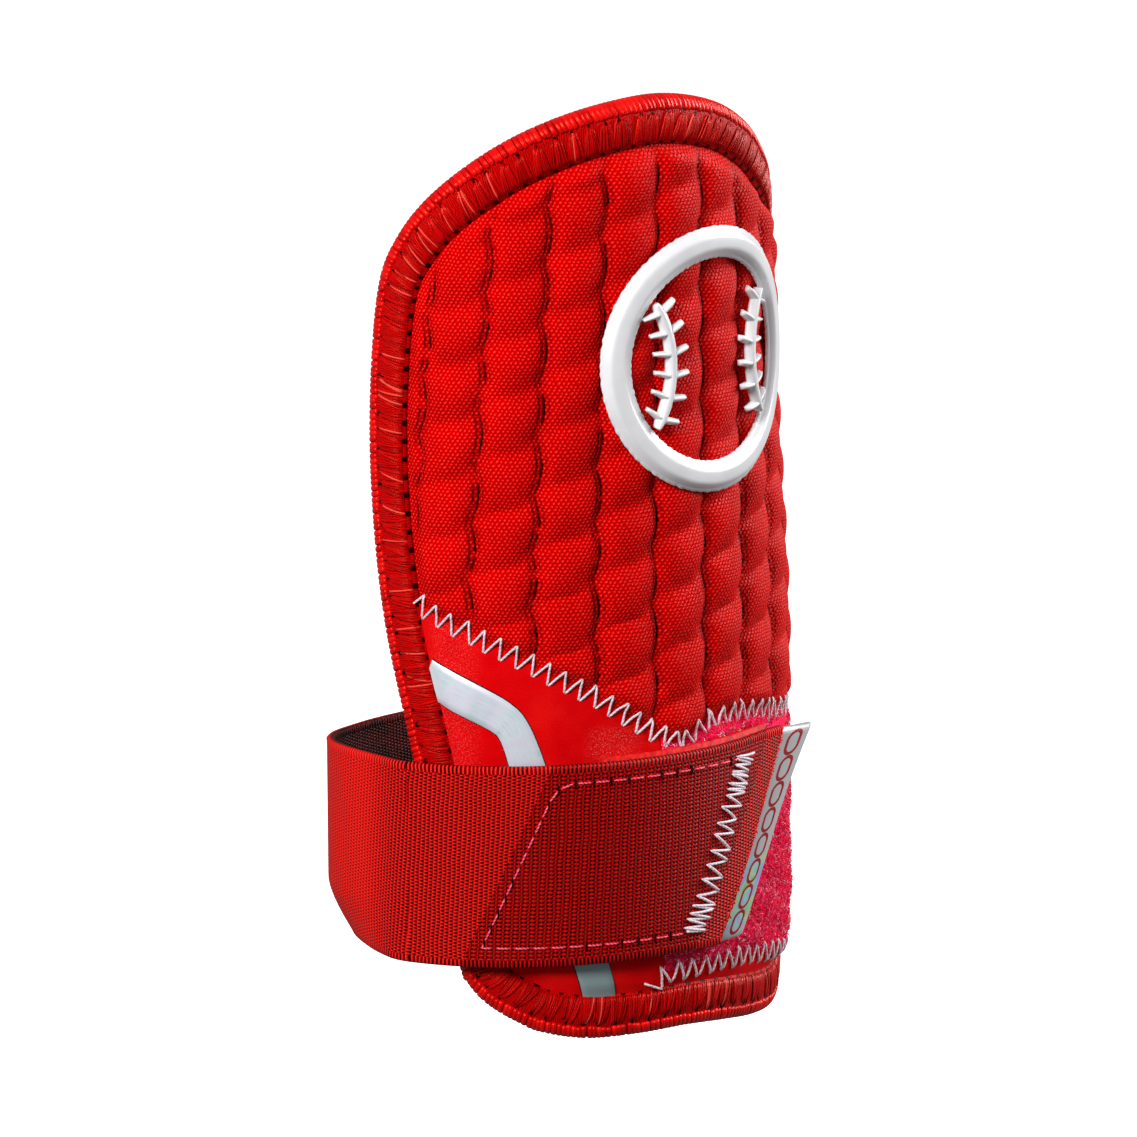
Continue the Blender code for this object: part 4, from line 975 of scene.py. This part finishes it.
# Hook patch
# Moulded nylon hook tape sewn under the strap's end. Only its top edge shows, a thin red line
# over the strap.
HOOK_BACK, HOOK_FACE, HOOK_START, HOOK_PEEK = 0.0005, 0.0014, -0.0350, 0.0007
places = np.linspace(HOOK_START, STRAP_END - 0.0034, 120)[:, None]
rows = np.linspace(-half_width + 0.6 * MM, half_width + HOOK_PEEK, 24)
up = np.concatenate([rows, rows[::-1]])[None, :]
level = np.repeat([HOOK_FACE, HOOK_BACK], len(rows))[None, :]
place = places + STRAP_SLANT * up
rings = bent(place, up + rise(places), level + lift(place))
uv = np.stack([place / MM, np.broadcast_to(up / MM, place.shape)], axis=-1)
hook = skinned("hook_tape", rings, uv=np.concatenate([uv, uv[:, :1]], axis=1))
hooks, tree, shader = new_material("moulded_nylon_hook_tape", Roughness=0.6, Specular_IOR_Level=0.2)
place, run_mm, row_mm = surface_axes(tree)
cells = add_node(tree, "TexVoronoi", place, Scale=1.1)
finish(tree, shader, add_node(tree, "ValToRGB", cells, stops=[(0.1, "#F01C16"), (0.9, "#B00206")]), cells,
       strength=0.5, depth=0.2)
hook.data.materials.append(hooks)
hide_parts("hook_patch")


# Stitching on the strap
# A running stitch in pink-red thread holds the hook patch, 3 mm a stitch, and a thick white
# zigzag tacks the strap's end down by the tab, twice as close at both ends.
def on_strap(across, up, above):
    """Places over the strap's outer face, from across, height over its middle, and height above it."""
    return bent(across, up + rise(across), STRAP_FACE - 0.10 * MM + lift(across) + above)


running = np.array([(5.0, 15.6), (-30.5, 15.6), (-33.0, 14.6), (-34.6, 12.4), (-46.9, -15.2),
                    (-9.5, -15.4)]) * MM
corner = travel(running)
count = int(corner[-1] / (3.15 * MM))
share = np.linspace(0.06, 0.84, 13)
stop = (np.arange(count)[:, None] + share) * corner[-1] / count
bow = np.sin(np.pi * np.linspace(0, 1, 13)) ** 0.5
paths = on_strap(np.interp(stop, corner, running[:, 0]), np.interp(stop, corner, running[:, 1]),
                 (bow - 0.8) * 0.34 * MM)
stitches = threads("running_stitches", paths, radius=0.20 * MM)

# Polyester embroidery thread, pink-red with a silk gloss.
pink_thread, tree, shader = new_material("pink_red_embroidery_thread", Roughness=0.38)
place, run_mm, round_share = surface_axes(tree)
twist = add_node(tree, "Math",
                 add_node(tree, "Math", add_node(tree, "Math", run_mm, round_share, operation="ADD"),
                          2 * math.pi / 0.7, operation="MULTIPLY"), operation="SINE")
pinks = add_node(tree, "ValToRGB", add_node(tree, "Math", twist, 0.5, 0.5, operation="MULTIPLY_ADD"),
                 stops=[(0.0, "#CC1838"), (0.6, "#EE3C58"), (1.0, "#FF7488")])
finish(tree, shader, pinks, twist, strength=0.4, depth=0.04)
stitches.data.materials.append(pink_thread)

holes = np.arange(1, count)[draw.uniform(0, 1, count - 1) < 0.7] * corner[-1] / count
reach = np.linspace(-0.9, 0.9, 7) * MM
across = np.interp(holes, corner, running[:, 0])[:, None] + 0 * reach
up = np.interp(holes, corner, running[:, 1])[:, None] + reach
gaps = threads("needle_gaps", on_strap(across, up, 0.04 * MM), radius=0.15 * MM, sides=5)

# Bare rubber core, nearly black, where the needle parts the cords at the end of a stitch.
bare_core, tree, shader = new_material("bare_rubber_core", Roughness=0.7, Specular_IOR_Level=0.1,
                                       Base_Color="#0A0001")
gaps.data.materials.append(bare_core)

tack = smooth_curve(np.array([(6.2, 16.9), (4.0, 12.0), (1.6, 6.6), (-0.8, 0.2), (-3.0, -5.2),
                              (-5.2, -10.4), (-7.6, -15.6)]) * MM, count=120)
length = travel(tack)
draw = np.random.default_rng(11)
pairs = np.concatenate([np.linspace(0.01, 0.235, 8), np.linspace(0.300, 0.785, 7),
                        np.linspace(0.840, 0.99, 5)])
sign = np.tile([1.0, -1.0], len(pairs))
stops = np.repeat(pairs, 2) + 0.012 * (sign > 0) + draw.normal(0, 0.009, len(sign))
centre = np.column_stack([np.interp(stops * length[-1], length, tack[:, j]) for j in (0, 1)])
knots = centre + np.column_stack([sign * 2.5 * MM * (1 + draw.normal(0, 0.08, len(sign))), 0 * sign])
flat, bow = between_knots(knots)
stack = np.repeat(draw.uniform(0.0, 0.30, len(knots) - 1), 10)
bar_tack = threads("bar_tack",
                   on_strap(flat[:, 0], flat[:, 1], (0.5 * bow ** 0.6 - 0.22 + stack) * MM)[None],
                   radius=0.27 * MM, sides=8)
bar_tack.data.materials.append(white_thread)

fray_up = np.linspace(-18.2, 18.2, 110)[:, None] * MM + draw.normal(0, 0.10 * MM, (110, 1))
fray_run = np.linspace(-0.9, 0.45, 6)[None, :] * MM * draw.uniform(0.4, 1.1, (110, 1))
curl = draw.normal(0, 0.20, (110, 1)) * (fray_run + 0.9 * MM) ** 2 / MM
across = STRAP_END + STRAP_SLANT * fray_up + 0.2 * MM + fray_run
fray = threads("cut_end_fray", on_strap(across, fray_up + curl, -0.28 * MM - 0.25 * fray_run),
               radius=0.16 * MM, sides=5)

# Loose polyester cover yarn at the cut end, bright red.
loose_yarn, tree, shader = new_material("loose_red_cover_yarn", Roughness=0.5, Specular_IOR_Level=0.3,
                                        Base_Color="#E6100C")
fray.data.materials.append(loose_yarn)

# Pull tab
# Moulded silver-grey rubber, 8 mm wide, held under the strap's slanted end. A row of red outlined
# pills is printed on it, and a holographic sheen shows on its lower part.
TAB_WIDTH, TAB_FLARE, TAB_MARGIN, TAB_BACK, TAB_FACE = 0.0082, 0.10, 0.0026, 0.0005, 0.0026
slope = math.hypot(1.0, STRAP_SLANT)
edge_at = STRAP_END + 0.1 * MM
end_at = STRAP_END + TAB_WIDTH * slope
tab_profile = np.array([
    (STRAP_END - TAB_MARGIN, TAB_BACK), (STRAP_END - TAB_MARGIN, 0.0014), (STRAP_END - 0.4 * MM, 0.0015),
    (edge_at, 0.0021), (edge_at + 0.5 * MM, TAB_FACE - 0.1 * MM), (edge_at + 1.1 * MM, TAB_FACE),
    (0.5 * (edge_at + end_at), TAB_FACE + 0.05 * MM), (end_at - 1.3 * MM, TAB_FACE),
    (end_at - 0.6 * MM, TAB_FACE - 0.15 * MM), (end_at - 0.1 * MM, TAB_FACE - 0.6 * MM),
    (end_at, TAB_BACK + 0.5 * MM), (end_at - 0.3 * MM, TAB_BACK),
])
low, high = -half_width + 0.2 * MM, half_width - 0.6 * MM
up = np.concatenate([[low, low + 0.15 * MM, low + 0.6 * MM],
                     np.linspace(low + 1.4 * MM, high - 1.4 * MM, 60),
                     [high - 0.6 * MM, high - 0.15 * MM, high]])[:, None]
pinch = np.minimum(up - low, high - up)
shrink = 1 - np.clip(1 - pinch / (0.7 * MM), 0, 1) ** 2 * 0.5
core = 0.5 * (TAB_BACK + TAB_FACE)
trim = 1.7 * MM * ease(tab_profile[None, :, 0], edge_at, end_at) * ease(up, high - 9 * MM, high)
up = up - trim
share = np.clip((tab_profile[None, :, 0] - edge_at) / (end_at - edge_at), 0, 1)
flare = (TAB_FLARE * up + 3.4 * MM * np.clip(up / high, 0, 1) ** 2) * share
across = tab_profile[None, :, 0] + STRAP_SLANT * up + flare
rings = bent(across, up + rise(STRAP_END), core + (tab_profile[None, :, 1] - core) * shrink + lift(across))
uv = np.stack(np.broadcast_arrays(up * slope / MM, (tab_profile[None, :, 0] - edge_at) / slope / MM),
              axis=-1)
tab = skinned("rubber_tab", rings, uv=np.concatenate([uv, uv[:, :1]], axis=1))

# Moulded rubber with a silver pigment: satin grey, printed red outlines 0.65 mm wide, and a
# holographic film on the lower third that turns green and cyan.
PILL_STEP, PILL_LONG, PILL_WIDE, PRINT_LINE = 5.0, 1.90, 1.45, 0.33
silver, tree, shader = new_material("silver_pigment_rubber", Roughness=0.36, Metallic=0.25)
place, run_mm, row_mm = surface_axes(tree)
along = add_node(tree, "Math", add_node(tree, "Math", run_mm, 10.5 * PILL_STEP + 0.6, operation="ADD"),
                 PILL_STEP / 2, operation="PINGPONG")
along = add_node(tree, "Math",
                 add_node(tree, "Math", along, PILL_LONG - PILL_WIDE + 0.25, operation="SUBTRACT"), 0.0,
                 operation="MAXIMUM")
aside = add_node(tree, "Math", row_mm, 4.1, operation="SUBTRACT")
pill = add_node(tree, "Math",
                add_node(tree, "Math", add_node(tree, "Math", along, 2.0, operation="POWER"),
                         add_node(tree, "Math", aside, aside, operation="MULTIPLY"), operation="ADD"),
                operation="SQRT")
outline = add_node(tree, "Math",
                   add_node(tree, "Math", add_node(tree, "Math", pill, PILL_WIDE, operation="SUBTRACT"),
                            operation="ABSOLUTE"), PRINT_LINE, operation="LESS_THAN")
in_row = add_node(tree, "Math", run_mm, -0.6, 4 * PILL_STEP, operation="COMPARE")
printed = add_node(tree, "Math", outline, in_row, operation="MULTIPLY")
sheens = [(0.34, "#6CC8A4"), (0.44, "#C8E07C"), (0.54, "#7CD4E4"), (0.64, "#B0A0E0")]
holographic = add_node(tree, "ValToRGB", add_node(tree, "TexNoise", place, 0.25), stops=sheens)
low_part = add_node(tree, "Math",
                    add_node(tree, "MapRange", run_mm, -3.0, -8.0, 0.0, 0.75,
                             interpolation_type="SMOOTHSTEP"),
                    add_node(tree, "MapRange", run_mm, -21.0, -17.0, interpolation_type="SMOOTHSTEP"),
                    operation="MULTIPLY")
# The grey is darker next to the strap's end and lighter towards the tab's free edge: painted shade and a
# painted highlight.
greys_with_painted_light = add_node(tree, "ValToRGB", add_node(tree, "Math", row_mm, 0.14, operation="MULTIPLY"),
                 stops=[(0.0, "#9C9C9E"), (0.25, "#B2B2B4"), (1.0, "#C6C6C8")])
tinted = add_node(tree, "Mix", low_part, greys_with_painted_light, holographic, data_type="RGBA")
finish(tree, shader, add_node(tree, "Mix", printed, tinted, "#A01016", data_type="RGBA"),
       add_node(tree, "TexNoise", place, 5.0), strength=0.12, depth=0.06)
tab.data.materials.append(silver)
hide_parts("pull_tab")

# Floor, light and camera
# A plain white floor below the guard, which is held up, soft light from the left and above, and
# a camera 46 degrees round to the wearer's left and 12 degrees up.
floor_mesh = bpy.data.meshes.new("floor")
reach, floor_height = 6.0, -0.16
floor_mesh.from_pydata([(-reach, -reach, floor_height), (reach, -reach, floor_height),
                        (reach, reach, floor_height), (-reach, reach, floor_height)], [], [(0, 1, 2, 3)])
floor = bpy.data.objects.new("floor", floor_mesh)
bpy.context.scene.collection.objects.link(floor)
paper, tree, shader = new_material("matt_white_paper", Roughness=0.9, Base_Color="#FFFFFF",
                                   Emission_Color="#FFFFFF", Emission_Strength=1.0)
floor.data.materials.append(paper)
floor.visible_diffuse = False
floor.visible_glossy = False

world = bpy.data.worlds.new("studio")
world.use_nodes = True
tree = world.node_tree
tree.nodes["Background"].inputs["Color"].default_value = colour("#FFFFFF")
seen = add_node(tree, "LightPath")
tree.links.new(add_node(tree, "Math", seen, 0.84, 0.16, operation="MULTIPLY_ADD"),
               tree.nodes["Background"].inputs["Strength"])
bpy.context.scene.world = world


def soft_light(name, azimuth, elevation, range_m, size, power):
    """Square area light aimed at the guard's middle, placed by its angles."""
    lamp = bpy.data.lights.new(name, "AREA")
    lamp.size = size
    lamp.energy = power
    light = bpy.data.objects.new(name, lamp)
    a, e = math.radians(azimuth), math.radians(elevation)
    back = np.array([math.sin(a) * math.cos(e), -math.cos(a) * math.cos(e), math.sin(e)])
    light.location = back * range_m + np.array([0, 0, 0.045])
    light.rotation_euler = (math.pi / 2 - e, 0, a)
    bpy.context.scene.collection.objects.link(light)


soft_light("key", azimuth=-76, elevation=33, range_m=0.9, size=0.30, power=9.4)
soft_light("fill", azimuth=62, elevation=22, range_m=0.9, size=0.55, power=10.4)

camera_data = bpy.data.cameras.new("camera")
camera_data.lens = 147.6
camera_data.sensor_width = 36.0
camera = bpy.data.objects.new("camera", camera_data)
azimuth, elevation, range_m = math.radians(-46), math.radians(11.6), 0.9
aim = np.array([0.005766, -0.005971, 0.0458])
back = np.array([math.sin(azimuth) * math.cos(elevation), -math.cos(azimuth) * math.cos(elevation),
                 math.sin(elevation)])
camera.location = aim + back * range_m
camera.rotation_euler = (math.pi / 2 - elevation, 0, azimuth)
bpy.context.scene.collection.objects.link(camera)
bpy.context.scene.camera = camera
bpy.context.scene.view_settings.view_transform = "Standard"
